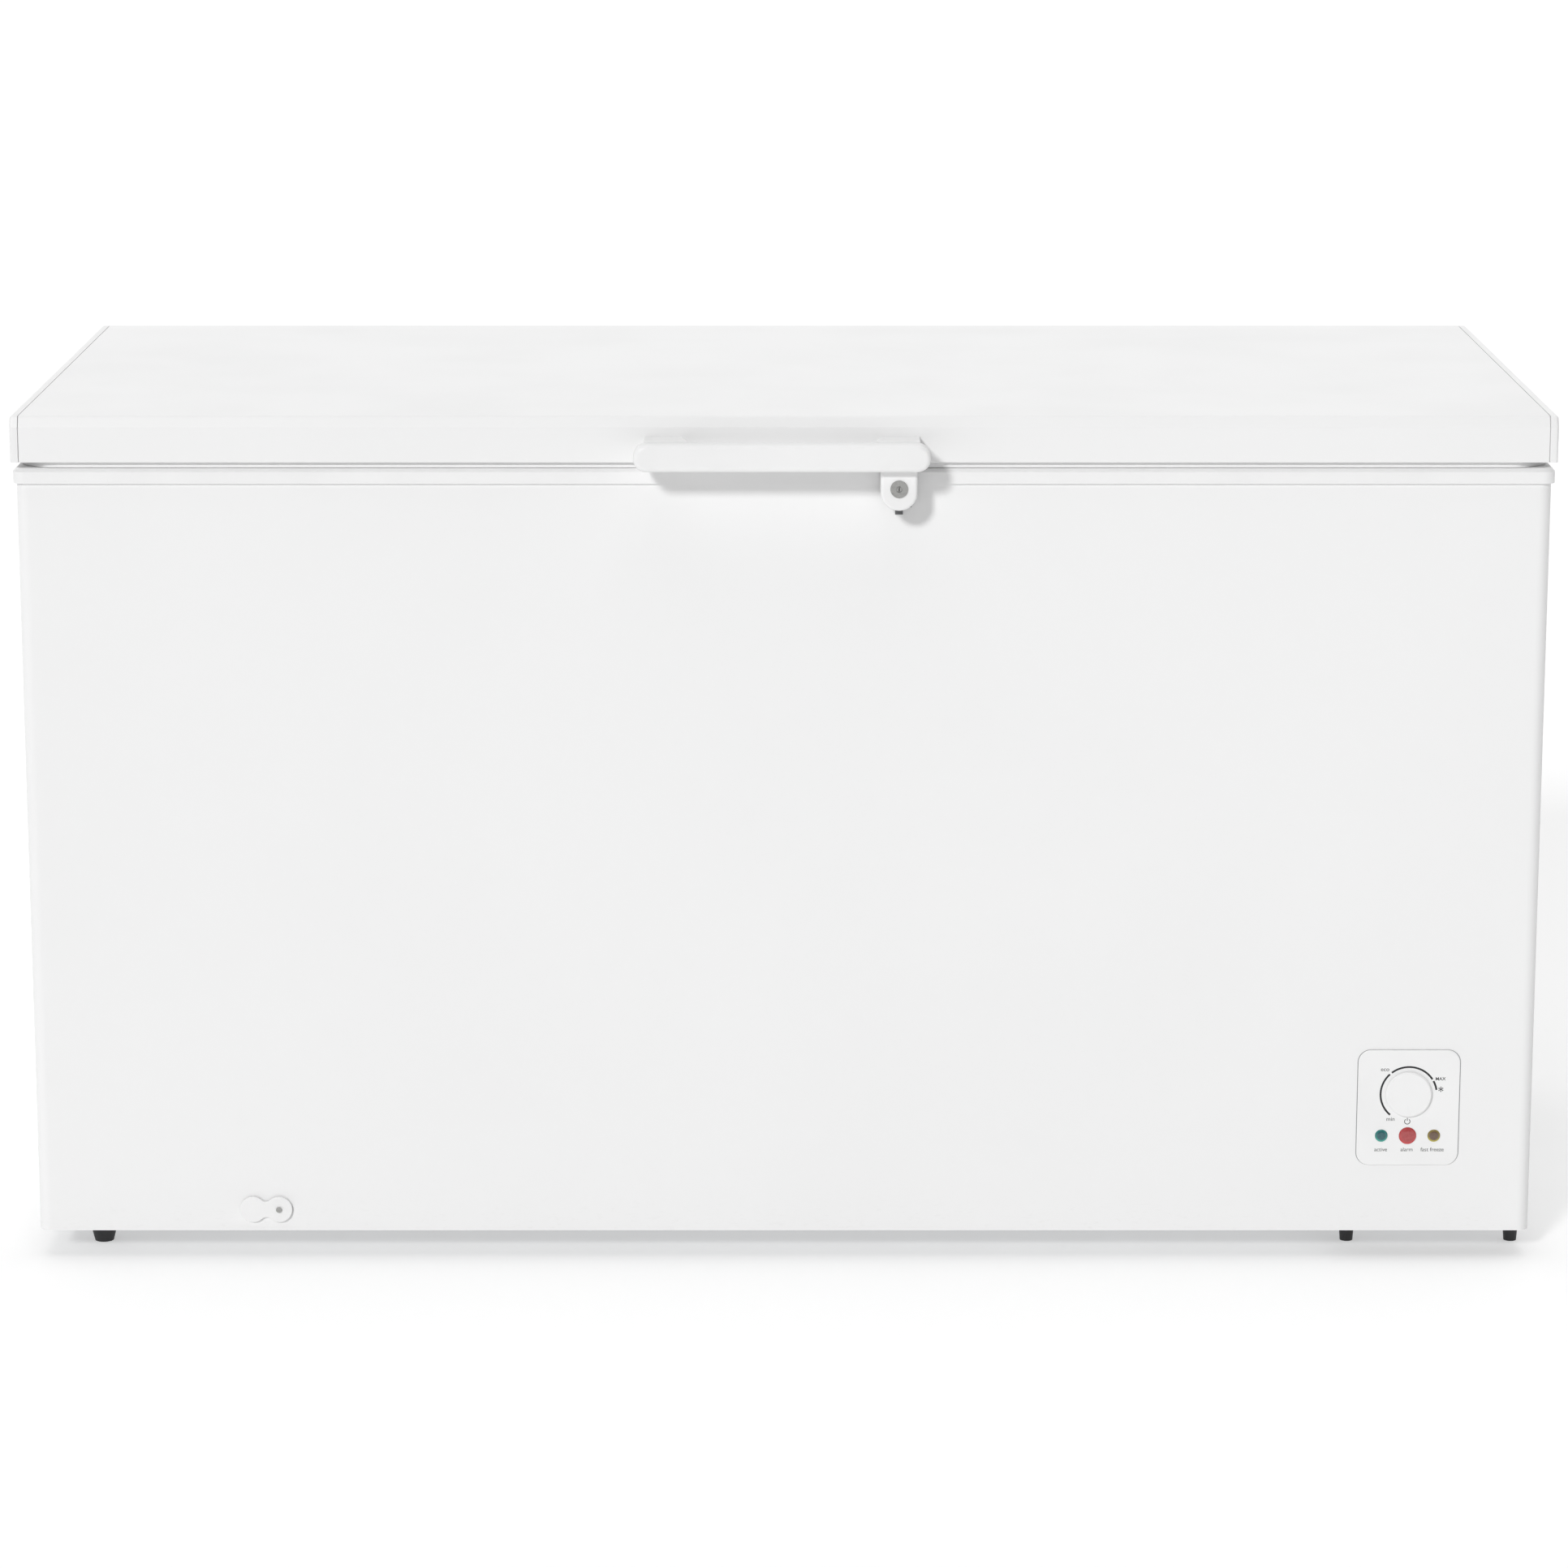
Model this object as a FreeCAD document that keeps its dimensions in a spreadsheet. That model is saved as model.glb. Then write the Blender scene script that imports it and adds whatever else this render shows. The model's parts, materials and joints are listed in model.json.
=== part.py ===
"""Chest freezer with a hinged, spring-balanced lid, a lock under its handle and a machine bay on the right.

The frame is in millimetres: X to the right seen from the front, Y to the back, Z up.
The origin is on the floor under the middle of the overall box.
Every size is a cell of the spreadsheet "dims" or an expression of its cells.
"""

import FreeCAD, Part
import math
import os

import Sketcher
from FreeCAD import Placement, Rotation, Vector

DRIVING = """
lid_width          1500   over the two end caps
lid_depth           700   front fascia to back flange
total_height        850   floor to lid top
lid_height           45   depth of the lid's flanges
lid_gap               6   lid's lower edge to the rim's top
facet_drop         10.5   lid top to the lower end of the slanted front edge
facet_set           4.5   depth of the slanted front edge
foot_height          28   floor to cabinet bottom
handle_reach         52   lid fascia to the grip's front
rear_reach           20   lid back to the hinge covers
rim_inset             1   rim behind the lid's faces
rim_height           15   rim's outer skirt
rim_bevel           3.6   rim's bevelled top edge
rim_wall            2.5   moulded rim section
rim_ledge            58   rim face to the basket ledge
rim_lip            79.5   rim face to the tub's mouth
ledge_drop           21   rim top to the basket ledge
lip_drop             34   rim top to the lip's lower edge
shell_inset           4   cabinet behind the lid's faces
shell_corner         12   upright corners of the cabinet
shell_flange         18   return flanges round the cabinet's open back
sheet                 1   steel sheet
insulation_wall      72   cabinet face to tub
liner_corner         24   upright corners of the tub
liner_floor_bend     14   bend between the tub's walls and floor
bay_width           190   machine bay, inside
bay_height          222   machine bay, inside
step_cover           60   foam over and beside the bay
cap_width             8   lid end cap
cap_seam            0.8   groove between cap and lid skin
cap_tongue           13   part of the cap inside the skin
hem                  12   returned lower edge of the lid skin
gasket_inset         26   rim face to the seal
gasket_width         15   seal foot
seal_clear          0.3   seal foot above the rim
panel_wall          1.2   lid's inner panel
pan_drop              6   lower face of the pan below the lid's edge
pan_corner           16   its corner radius
pan_inset            62   lid edge to the pan
handle_x             -2   middle of the handle
handle_width        286   grip, end to end
handle_height      26.5   grip
handle_drop         1.8   lid's lower edge to the grip's lower edge
handle_thick         18   grip, front to back
handle_end         12.6   grip's end radius
neck_near            97   handle's middle to the neck's inner side
neck_far            133   handle's middle to the neck's outer side
neck_low              5   lid's lower edge to the neck
neck_height        20.5   neck
pad_height           24   neck's foot on the fascia
pad_thick             3   neck's foot on the fascia
lock_x            110.9   middle of the lid to the lock's axis
lock_axis_drop     65.2   lid top to the lock's axis
lock_width         35.5   lock housing
lock_low           21.3   lock axis to the housing's lowest point
lock_face            37   fascia to the housing's face
lock_wall             2   housing wall
barrel_radius       8.5   lock barrel
barrel_fit         0.06   running clearance of barrel, shaft and pin
stem_radius           4   barrel's stem in the cam
cam_reach            13   lock axis to the cam's tip
cam_thick           2.5   cam
bezel_x           621.8   middle of the front to the control bezel
bezel_z           155.8   floor to the control bezel's middle
bezel_width       101.2   control bezel
bezel_height      118.8   control bezel
bezel_corner         13   control bezel's corners
bezel_proud         1.6   bezel in front of the cabinet
knob_z            169.9   floor to the knob's axis
knob_radius        23.2   control knob
knob_reach          3.5   knob in front of the bezel
shaft_radius          3   knob shaft
lamp_z              127   floor to the pilot lamps
lamp_pitch         26.2   alarm lamp to either neighbour
lamp_small          6.3   radius of the two small lamps
lamp_large          8.7   radius of the alarm lamp
drain_x             518   middle of the front to the drain cover, on the left
drain_z            50.5   floor to the drain cover
drain_lobe         13.2   lobe radius of the drain cover
drain_half           13   cover's middle to either lobe's axis
drain_waist        8.25   half height of the cover's waist
drain_bore          6.5   drain tube, inside radius
drain_y            -150   middle of the object to the drain in the tub's floor
left_foot_x         689   middle of the front to the left feet
bay_foot_in         570   middle of the front to the bay's inner feet
bay_foot_out        736   middle of the front to the bay's outer feet
foot_setback         60   cabinet's front and back to the feet's axes
hinge_x             430   middle of the lid to either hinge
hinge_half           30   hinge cover's half width
hinge_set            10   lid back to the hinge pin's axis
hinge_rise            1   rim top to the hinge pin's axis
hinge_drop          104   hinge pin's axis to the cover's lower end
pin_radius            3   hinge pin
knuckle               7   knuckles round the hinge pin
can_radius           66   compressor shell
can_height          150   compressor shell
can_x               648   middle of the cabinet to the compressor's axis
can_y               226   middle of the object to the compressor's axis
base_drop             8   cabinet bottom to the machine base's lower face
tube_radius         3.5   refrigerant tubes
basket_x            500   middle of the cabinet to the basket
basket_width        250   basket, along the cabinet
basket_depth        196   ledge to the basket's floor
basket_wire           2   frame wire's radius
basket_thin         1.7   radius of the wires between the frame
basket_gap            6   basket to the tub's mouth
"""


class Size:
    """A length that carries both its value and the expression of the spreadsheet's cells behind it."""

    def __init__(self, value, text):
        self.value = float(value)
        self.text = text

    def __float__(self):
        return self.value

    def join(self, sign, other, value):
        return Size(value, f"({self.text} {sign} {size(other).text})")

    def __add__(self, other):
        return self.join("+", other, self.value + float(other))

    def __sub__(self, other):
        return self.join("-", other, self.value - float(other))

    def __mul__(self, other):
        return self.join("*", other, self.value * float(other))

    def __truediv__(self, other):
        return self.join("/", other, self.value / float(other))

    def __neg__(self):
        return Size(-self.value, f"(0 - {self.text})")

    def __radd__(self, other):
        return size(other) + self

    def __rsub__(self, other):
        return size(other) - self

    def __rmul__(self, other):
        return size(other) * self


def size(number):
    """A plain number is a size of its own."""
    if isinstance(number, Size):
        return number
    return Size(number, f"{number:g}" if number >= 0 else f"(0 - {-number:g})")


doc = FreeCAD.newDocument("chest_freezer")
dims = doc.addObject("Spreadsheet::Sheet", "dims")
cell = {}
for row, line in enumerate(DRIVING.strip().splitlines(), 1):
    alias, number, note = line.split(None, 2)
    dims.set(f"A{row}", alias)
    dims.set(f"B{row}", number)
    dims.set(f"C{row}", note)
    dims.setAlias(f"B{row}", alias)
    cell[alias] = Size(number, "dims." + alias)
doc.recompute()


class Cells:
    """The cells by name: d.lid_width."""

    def __getattr__(self, alias):
        return cell[alias]


d = Cells()

# Faces of the object, from the outside in.
FRONT = (d.handle_reach - d.rear_reach - d.lid_depth) / 2
BACK = FRONT + d.lid_depth
LID_Z = d.total_height - d.lid_height
RIM_Z = LID_Z - d.lid_gap
RIM_X = d.lid_width / 2 - d.rim_inset
RIM_Y0 = FRONT + d.rim_inset
RIM_Y1 = BACK - d.rim_inset
CAB_X = d.lid_width / 2 - d.shell_inset
CAB_Y0 = FRONT + d.shell_inset
CAB_Y1 = BACK - d.shell_inset
CAB_Z = d.foot_height
CAB_TOP = RIM_Z - d.rim_wall - 0.5
LEDGE_Z = RIM_Z - d.ledge_drop
TUB_X = CAB_X - d.insulation_wall
TUB_Y0 = CAB_Y0 + d.insulation_wall
TUB_Y1 = CAB_Y1 - d.insulation_wall
TUB_Z = CAB_Z + d.insulation_wall
TUB_TOP = LEDGE_Z - d.rim_wall - 0.5
IN_X = CAB_X - d.sheet
IN_Y0 = CAB_Y0 + d.sheet
IN_Y1 = CAB_Y1 - d.sheet
IN_Z = CAB_Z + d.sheet
BAY_X0 = IN_X - d.bay_width
BAY_Z1 = IN_Z + d.bay_height
STEP_X = BAY_X0 - d.step_cover
STEP_Z = BAY_Z1 + d.step_cover
HINGE_Y = BACK + d.hinge_set
HINGE_Z = RIM_Z + d.hinge_rise
LOCK_Z = d.total_height - d.lock_axis_drop
LOCK_Y = FRONT - d.lock_face
DRAIN_X = -d.drain_x - d.drain_half
PIVOT_X = -d.drain_x + d.drain_half
BEZEL_Y = CAB_Y0 - d.bezel_proud

parts = {}


def keep(label, obj):
    """Registers a finished sub-part under the name of its file."""
    obj.Label = label
    parts[label] = obj
    return obj


def bind(obj, **sizes):
    """Ties properties, with __ for a dot, to sizes."""
    for name, value in sizes.items():
        obj.setExpression(name.replace("__", "."), size(value).text)
    return obj


# ---------------------------------------------------------------- sketches and features


def body(label):
    return keep(label, doc.addObject("PartDesign::Body", label))


def sketch(owner, plane, at=0):
    """A sketch on one of the body's own planes, at a distance along the axis that the plane faces."""
    made = owner.newObject("Sketcher::SketchObject", "sketch")
    support = next(o for o in owner.Origin.OriginFeatures if o.Role == plane + "_Plane")
    made.AttachmentSupport = [(support, "")]
    made.MapMode = "FlatFace"
    return bind(made, AttachmentOffset__Base__z=-size(at) if plane == "XZ" else at)


def fix(made, kind, element, point, value):
    """One dimension, from the sketch's origin or of an element, tied to a size."""
    where = (-1, 1, element, point) if kind in ("DistanceX", "DistanceY") else (element,)
    index = made.addConstraint(Sketcher.Constraint(kind, *where, float(value)))
    made.setExpression(f"Constraints[{index}]", size(value).text)


def polygon(*points):
    """A drawing step: a closed outline of straight runs through (u, v) sizes."""

    def draw(made):
        first = made.GeometryCount
        at = [Vector(float(u), float(v), 0) for u, v in points]
        for i, start in enumerate(at):
            made.addGeometry(Part.LineSegment(start, at[(i + 1) % len(at)]))
        for i, (u, v) in enumerate(points):
            following = first + (i + 1) % len(at)
            made.addConstraint(Sketcher.Constraint("Coincident", first + i, 2, following, 1))
            fix(made, "DistanceX", first + i, 1, u)
            fix(made, "DistanceY", first + i, 1, v)

    return draw


def rect(u0, v0, u1, v1):
    """A drawing step: a rectangle with sharp corners."""
    return polygon((u0, v0), (u1, v0), (u1, v1), (u0, v1))


def round_rect(u0, v0, u1, v1, radius):
    """A drawing step: a rectangle with four equal round corners."""

    def draw(made):
        g = made.GeometryCount
        a, b, c, e, r = (float(t) for t in (u0, v0, u1, v1, radius))
        runs = [((a + r, b), (c - r, b)), ((c, b + r), (c, e - r)),
                ((c - r, e), (a + r, e)), ((a, e - r), (a, b + r))]
        turns = [((c - r, b + r), 270), ((c - r, e - r), 0), ((a + r, e - r), 90), ((a + r, b + r), 180)]
        for start, end in runs:
            made.addGeometry(Part.LineSegment(Vector(*start, 0), Vector(*end, 0)))
        for centre, begin in turns:
            whole = Part.Circle(Vector(*centre, 0), Vector(0, 0, 1), r)
            made.addGeometry(Part.ArcOfCircle(whole, math.radians(begin), math.radians(begin + 90)))
        for i in range(4):
            made.addConstraint(Sketcher.Constraint("Tangent", g + i, 2, g + 4 + i, 1))
            made.addConstraint(Sketcher.Constraint("Tangent", g + 4 + i, 2, g + (i + 1) % 4, 1))
        for i in range(4):
            made.addConstraint(Sketcher.Constraint("Vertical" if i % 2 else "Horizontal", g + i))
        for i in range(1, 4):
            made.addConstraint(Sketcher.Constraint("Equal", g + 4, g + 4 + i))
        fix(made, "Radius", g + 4, 0, radius)
        for i, value in enumerate((v0, u1, v1, u0)):
            fix(made, "DistanceX" if i % 2 else "DistanceY", g + i, 1, value)

    return draw


def disc(u, v, radius):
    """A drawing step: a circle."""

    def draw(made):
        g = made.GeometryCount
        made.addGeometry(Part.Circle(Vector(float(u), float(v), 0), Vector(0, 0, 1), float(radius)))
        fix(made, "DistanceX", g, 3, u)
        fix(made, "DistanceY", g, 3, v)
        fix(made, "Radius", g, 0, radius)

    return draw


def volume(owner):
    doc.recompute()
    return owner.Shape.Volume if owner.Tip is not None and not owner.Shape.isNull() else 0.0


def prism(owner, plane, start, end, *draws, cut=False):
    """Adds or cuts a prism between two places along the axis that the plane faces."""
    before = volume(owner)
    made = sketch(owner, plane, start)
    for draw in draws:
        draw(made)
    kind = "Pocket" if cut else "Pad"
    feature = owner.newObject("PartDesign::" + kind, kind.lower())
    feature.Profile = made
    feature.Reversed = (plane == "XZ") != cut
    bind(feature, Length=size(end) - start)
    after = volume(owner)
    assert (after < before) if cut else (after > before), f"{owner.Label}: a prism changed nothing"
    return feature


def cut(owner, plane, start, end, *draws):
    return prism(owner, plane, start, end, *draws, cut=True)


def plate(label, plane, start, end, *draws):
    """A prism as a piece of its own; outlines inside the first are holes."""
    made = body(label)
    prism(made, plane, start, end, *draws)
    return made


def turned(owner, points, plane="XZ", axis="V_Axis"):
    """Turns an outline about an axis of its sketch: V of XZ is the row's Z, V of XY is its Y."""
    made = sketch(owner, plane)
    polygon(*points)(made)
    feature = owner.newObject("PartDesign::Revolution", "turned")
    feature.Profile = made
    feature.ReferenceAxis = (made, [axis])
    feature.Angle = 360
    assert volume(owner) > 0, f"{owner.Label}: nothing was turned"
    return feature


def soften(owner, radius, wanted, along=None, kind="Fillet"):
    """Rounds or chamfers the edges whose middle point is wanted, optionally only those along one axis."""
    names = []
    for i, edge in enumerate(owner.Shape.Edges, 1):
        box = edge.BoundBox
        spans = {"x": box.XLength, "y": box.YLength, "z": box.ZLength}
        if along and any(spans[a] > 1e-4 for a in "xyz" if a != along):
            continue
        if wanted(box.Center):
            names.append(f"Edge{i}")
    assert names, f"{owner.Label}: no edge to soften"
    base = owner.Tip
    made = owner.newObject("PartDesign::" + kind, kind.lower())
    made.Base = (base, names)
    bind(made, **{"Radius" if kind == "Fillet" else "Size": radius})
    doc.recompute()
    assert "Invalid" not in made.State, f"{owner.Label}: edges could not be softened"
    return made


def near(value, target, tolerance=0.05):
    return abs(value - float(target)) < tolerance


TURN = {"x": ((0, 1, 0), 90), "y": ((1, 0, 0), -90), "z": ((0, 0, 1), 0)}


def rod(axis, x, y, z, radius, length):
    """A cylinder that starts at a point and runs along the named axis."""
    made = doc.addObject("Part::Cylinder", "rod")
    made.Placement = Placement(Vector(), Rotation(Vector(*TURN[axis][0]), TURN[axis][1]))
    bind(made, Radius=radius, Height=length)
    return bind(made, Placement__Base__x=x, Placement__Base__y=y, Placement__Base__z=z)


def joined(*pieces):
    made = doc.addObject("Part::MultiFuse", "joined")
    made.Shapes = list(pieces)
    return made


def minus(whole, *tools):
    made = doc.addObject("Part::Cut", "minus")
    made.Base = whole
    made.Tool = tools[0] if len(tools) == 1 else joined(*tools)
    return made


def group(label, pieces):
    """Several like pieces that share one name, such as a set of screws."""
    made = doc.addObject("Part::Compound", label)
    made.Links = list(pieces)
    return keep(label, made)


def bent(radius, bend, *points):
    """A bent round bar along straight runs through (x, y, z) sizes, with equal bends between them."""
    made = doc.addObject("Part::Feature", "bent")
    at = [Vector(*(float(t) for t in point)) for point in points]
    edges = []
    start = at[0]
    for before, corner, after in zip(at, at[1:], at[2:]):
        u = (before - corner).normalize()
        v = (after - corner).normalize()
        half = math.acos(max(-1.0, min(1.0, u.dot(v)))) / 2
        reach = float(bend) / math.tan(half)
        assert (corner - start).Length > reach - 1e-6, "a run is too short for its bends"
        middle = corner + (u + v).normalize() * (float(bend) / math.sin(half) - float(bend))
        if (corner + u * reach - start).Length > 1e-6:
            edges.append(Part.makeLine(start, corner + u * reach))
        edges.append(Part.Arc(corner + u * reach, middle, corner + v * reach).toShape())
        start = corner + v * reach
    edges.append(Part.makeLine(start, at[-1]))
    ring = Part.Wire(Part.makeCircle(float(radius), at[0], at[1] - at[0]))
    made.Shape = Part.Wire(edges).makePipeShell([ring], True, False)
    return made


def tube(label, radius, bend, *points):
    return keep(label, bent(radius, bend, *points))


# ---------------------------------------------------------------- cabinet

shell = plate("cabinet_shell", "XY", CAB_Z, CAB_TOP,
              round_rect(-CAB_X, CAB_Y0, CAB_X, CAB_Y1, d.shell_corner),
              round_rect(-IN_X, IN_Y0, IN_X, IN_Y1, d.shell_corner - d.sheet))
WINDOW_X = CAB_X - d.shell_flange
WINDOW_TOP = CAB_TOP - d.shell_flange
cut(shell, "XZ", IN_Y1 - 1, CAB_Y1 + 1, rect(-WINDOW_X, CAB_Z + d.shell_flange, WINDOW_X, WINDOW_TOP))
PANEL_X, PANEL_Z = d.bezel_width / 2 - 5, d.bezel_height / 2 - 5
cut(shell, "XZ", CAB_Y0 - 1, IN_Y0 + 1,
    rect(d.bezel_x - PANEL_X, d.bezel_z - PANEL_Z, d.bezel_x + PANEL_X, d.bezel_z + PANEL_Z),
    disc(DRAIN_X, d.drain_z, d.drain_bore + 2), disc(PIVOT_X, d.drain_z, 1.6))
VENT_Y0, VENT_Y1, VENT_Z0, VENT_Z1 = size(60), size(300), size(60), size(220)
cut(shell, "YZ", IN_X - 1, CAB_X + 1, rect(VENT_Y0, VENT_Z0, VENT_Y1, VENT_Z1))

REAR_X, GRILLE_TOP = WINDOW_X + 8, BAY_Z1 + 30
REAR_TOP = RIM_Z - d.rim_height - 1
rear = plate("rear_panel", "XZ", CAB_Y1, CAB_Y1 + d.sheet,
             polygon((-REAR_X, CAB_Z + 8), (BAY_X0 - 6, CAB_Z + 8), (BAY_X0 - 6, GRILLE_TOP + 2),
                     (REAR_X, GRILLE_TOP + 2), (REAR_X, REAR_TOP), (-REAR_X, REAR_TOP)))
for i in range(4):
    bead_z = CAB_Z + 150 + i * 150
    prism(rear, "XZ", CAB_Y1 + d.sheet, CAB_Y1 + d.sheet + 1,
          rect(60 - REAR_X, bead_z, BAY_X0 - 80, bead_z + 12))

C = d.shell_corner - d.sheet
plate("base_panel", "XY", CAB_Z, IN_Z,
      polygon((-IN_X + 0.2, IN_Y0 + C), (-IN_X + C, IN_Y0 + 0.2), (BAY_X0 - 1, IN_Y0 + 0.2),
              (BAY_X0 - 1, IN_Y1 - 0.2), (-IN_X + C, IN_Y1 - 0.2), (-IN_X + 0.2, IN_Y1 - C)))

casing = plate("machine_bay_casing", "XZ", IN_Y0 + 0.3, IN_Y1 - 0.3,
               polygon((BAY_X0 - 1, CAB_Z), (BAY_X0, CAB_Z), (BAY_X0, BAY_Z1), (IN_X - 0.3, BAY_Z1),
                       (IN_X - 0.3, BAY_Z1 + 1), (BAY_X0 - 1, BAY_Z1 + 1)))
soften(casing, C, lambda p: near(p.x, IN_X - 0.3), along="z")

foam = plate("insulation", "XY", IN_Z, CAB_TOP - 0.2,
             polygon((-IN_X, IN_Y0 + C), (-IN_X + C, IN_Y0), (IN_X - C, IN_Y0), (IN_X, IN_Y0 + C),
                     (IN_X, IN_Y1 - C), (IN_X - C, IN_Y1), (-IN_X + C, IN_Y1), (-IN_X, IN_Y1 - C)))
cut(foam, "XZ", IN_Y0 - 1, IN_Y1 + 1, rect(BAY_X0 - 1, IN_Z - 1, IN_X + 1, BAY_Z1 + 1))
WELL = d.rim_ledge - d.rim_wall - 0.5
cut(foam, "XY", TUB_TOP, CAB_TOP, rect(WELL - RIM_X, RIM_Y0 + WELL, RIM_X - WELL, RIM_Y1 - WELL))
cut(foam, "XZ", TUB_Y0, TUB_Y1,
    polygon((-TUB_X, TUB_Z), (STEP_X, TUB_Z), (STEP_X, STEP_Z), (TUB_X, STEP_Z), (TUB_X, TUB_TOP + 1),
            (-TUB_X, TUB_TOP + 1)))
BORE = d.drain_bore + 1.5
cut(foam, "XY", d.drain_z - BORE, TUB_Z + 1,
    rect(DRAIN_X - BORE, d.drain_y - BORE, DRAIN_X + BORE, d.drain_y + BORE))
cut(foam, "XZ", IN_Y0 - 1, d.drain_y,
    rect(DRAIN_X - BORE, d.drain_z - BORE, DRAIN_X + BORE, d.drain_z + BORE))


def tub(inward):
    """The solid form of the tub, grown inwards from the liner's outer face."""
    made = doc.addObject("PartDesign::Body", "tub_form")
    x, step_x = TUB_X - inward, STEP_X - inward
    low, high, top = TUB_Z + inward, STEP_Z + inward, TUB_TOP + inward
    prism(made, "XZ", TUB_Y0 + inward, TUB_Y1 - inward,
          polygon((-x, low), (step_x, low), (step_x, high), (x, high), (x, top), (-x, top)))
    soften(made, d.liner_corner - inward, lambda p: abs(p.x) > float(x) - 1, along="z")
    soften(made, d.liner_floor_bend - inward,
           lambda p: near(p.z, low) or (near(p.z, high) and p.x > float(step_x) + 1))
    return made


liner = minus(tub(size(0)), tub(d.sheet), rod("z", DRAIN_X, d.drain_y, TUB_Z - 1, d.drain_bore, 4))
keep("liner", liner)



def about(inset, radius):
    """A drawing step: a rounded rectangle at an even distance inside the rim's faces."""
    return round_rect(inset - RIM_X, RIM_Y0 + inset, RIM_X - inset, RIM_Y1 - inset, radius)


SKIRT, STAND, LIP = d.rim_wall, d.rim_ledge - d.rim_wall, d.rim_lip - d.rim_wall
MOUTH = about(d.rim_lip, d.liner_corner)
UNDER_LEDGE = LEDGE_Z - d.rim_wall
rim = plate("top_rim", "XY", UNDER_LEDGE, RIM_Z, about(size(0), d.shell_corner), MOUTH)
cut(rim, "XY", LEDGE_Z, RIM_Z, about(d.rim_ledge, d.liner_corner + 16))
cut(rim, "XY", UNDER_LEDGE - 1, RIM_Z - d.rim_wall,
    about(SKIRT, d.shell_corner - SKIRT), about(STAND, d.liner_corner + 18))
cut(rim, "XY", UNDER_LEDGE - 1, RIM_Z - d.rim_height,
    about(size(-1), d.shell_corner + 1), about(SKIRT + 0.5, d.shell_corner - SKIRT - 0.5))
prism(rim, "XY", RIM_Z - d.lip_drop, LEDGE_Z - 1, about(LIP, d.liner_corner + d.rim_wall), MOUTH)


def front_or_end(p):
    """Tells the rim's top edges on its front and its two ends."""
    return near(p.z, RIM_Z) and (abs(p.x) > float(RIM_X) - 5 or p.y < float(RIM_Y0) + 5)


soften(rim, d.rim_bevel, front_or_end, kind="Chamfer")

# ---------------------------------------------------------------- refrigeration circuit

COIL_Y = IN_Y0 + 6
COIL_TURNS = [STEP_Z + 30 + i * 70 for i in range(6)]
LEFT, RIGHT = 60 - IN_X, IN_X - 60
condenser = [(RIGHT, COIL_Y, BAY_Z1 - 6)]
for i, z in enumerate(COIL_TURNS):
    ends = (LEFT, RIGHT) if i % 2 else (RIGHT, LEFT)
    condenser += [(x, COIL_Y, z) for x in ends]
tube("condenser_coil", d.tube_radius - 1, 12, *condenser[:-1], (RIGHT - 20, COIL_Y, COIL_TURNS[-1]))

EVAP = 7
evaporator = [(BAY_X0 + 40, TUB_Y1 + EVAP, BAY_Z1 - 6)]
for i in range(5):
    z = STEP_Z + 40 + i * 80
    evaporator += [(BAY_X0 + 40, TUB_Y1 + EVAP, z)] if i == 0 else []
    evaporator += [(-TUB_X - EVAP, TUB_Y1 + EVAP, z), (-TUB_X - EVAP, TUB_Y0 - EVAP, z + 20),
                   (TUB_X + EVAP, TUB_Y0 - EVAP, z + 40), (TUB_X + EVAP, TUB_Y1 + EVAP, z + 60)]
evaporator.append((TUB_X - 60, TUB_Y1 + EVAP, STEP_Z + 40 + 4 * 80 + 64))
tube("evaporator_coil", d.tube_radius, 20, *evaporator)

BASE_Z0 = CAB_Z - d.base_drop
BASE_Z1 = BASE_Z0 + 2
TRAY_Y0, TRAY_Y1 = IN_Y0 + 38, IN_Y1 - C - 2
tray = plate("machine_base_plate", "XY", BASE_Z0, BASE_Z1, rect(BAY_X0 + 6, TRAY_Y0, IN_X - 1, TRAY_Y1))
for lo, hi in ((BAY_X0 + 6, BAY_X0 + 8), (IN_X - 3, IN_X - 1)):
    prism(tray, "XY", BASE_Z0, CAB_Z + 8, rect(lo, TRAY_Y0, hi, TRAY_Y1))
prism(tray, "XY", BASE_Z0, CAB_Z - 1, rect(BAY_X0 + 6, TRAY_Y0, IN_X - 1, TRAY_Y0 + 2))

CAN_Z = BASE_Z1 + 24
TOP = CAN_Z + d.can_height
R = d.can_radius
SEAM = CAN_Z + d.can_height * 0.55
can = body("compressor_shell")
turned(can, [(0, CAN_Z), (R - 26, CAN_Z), (R - 10, CAN_Z + 8), (R - 2, CAN_Z + 24), (R - 2, SEAM - 4),
             (R + 3, SEAM - 4), (R + 3, SEAM + 4), (R - 1, SEAM + 4), (R - 1, TOP - 34), (R - 8, TOP - 18),
             (R - 24, TOP - 5), (R - 46, TOP), (0, TOP)])
bind(can, Placement__Base__x=d.can_x, Placement__Base__y=d.can_y)
PAD = 74
CORNERS = [(d.can_x + sx * 60, d.can_y + sy * 60) for sx in (-1, 1) for sy in (-1, 1)]
feet_plate = plate("compressor_feet", "XY", CAN_Z - 2.6, CAN_Z - 0.1,
                   round_rect(d.can_x - PAD, d.can_y - PAD, d.can_x + PAD, d.can_y + PAD, 16),
                   *[disc(x, y, 5) for x, y in CORNERS])
group("compressor_grommets",
      [minus(rod("z", x, y, BASE_Z1, 11, CAN_Z - 2.6 - BASE_Z1), rod("z", x, y, BASE_Z1 - 1, 4.2, 40))
       for x, y in CORNERS])
group("compressor_bolts",
      [joined(rod("z", x, y, BASE_Z1, 4, CAN_Z - BASE_Z1 + 2), rod("z", x, y, CAN_Z + 0.2, 9, 5))
       for x, y in CORNERS])
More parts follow.
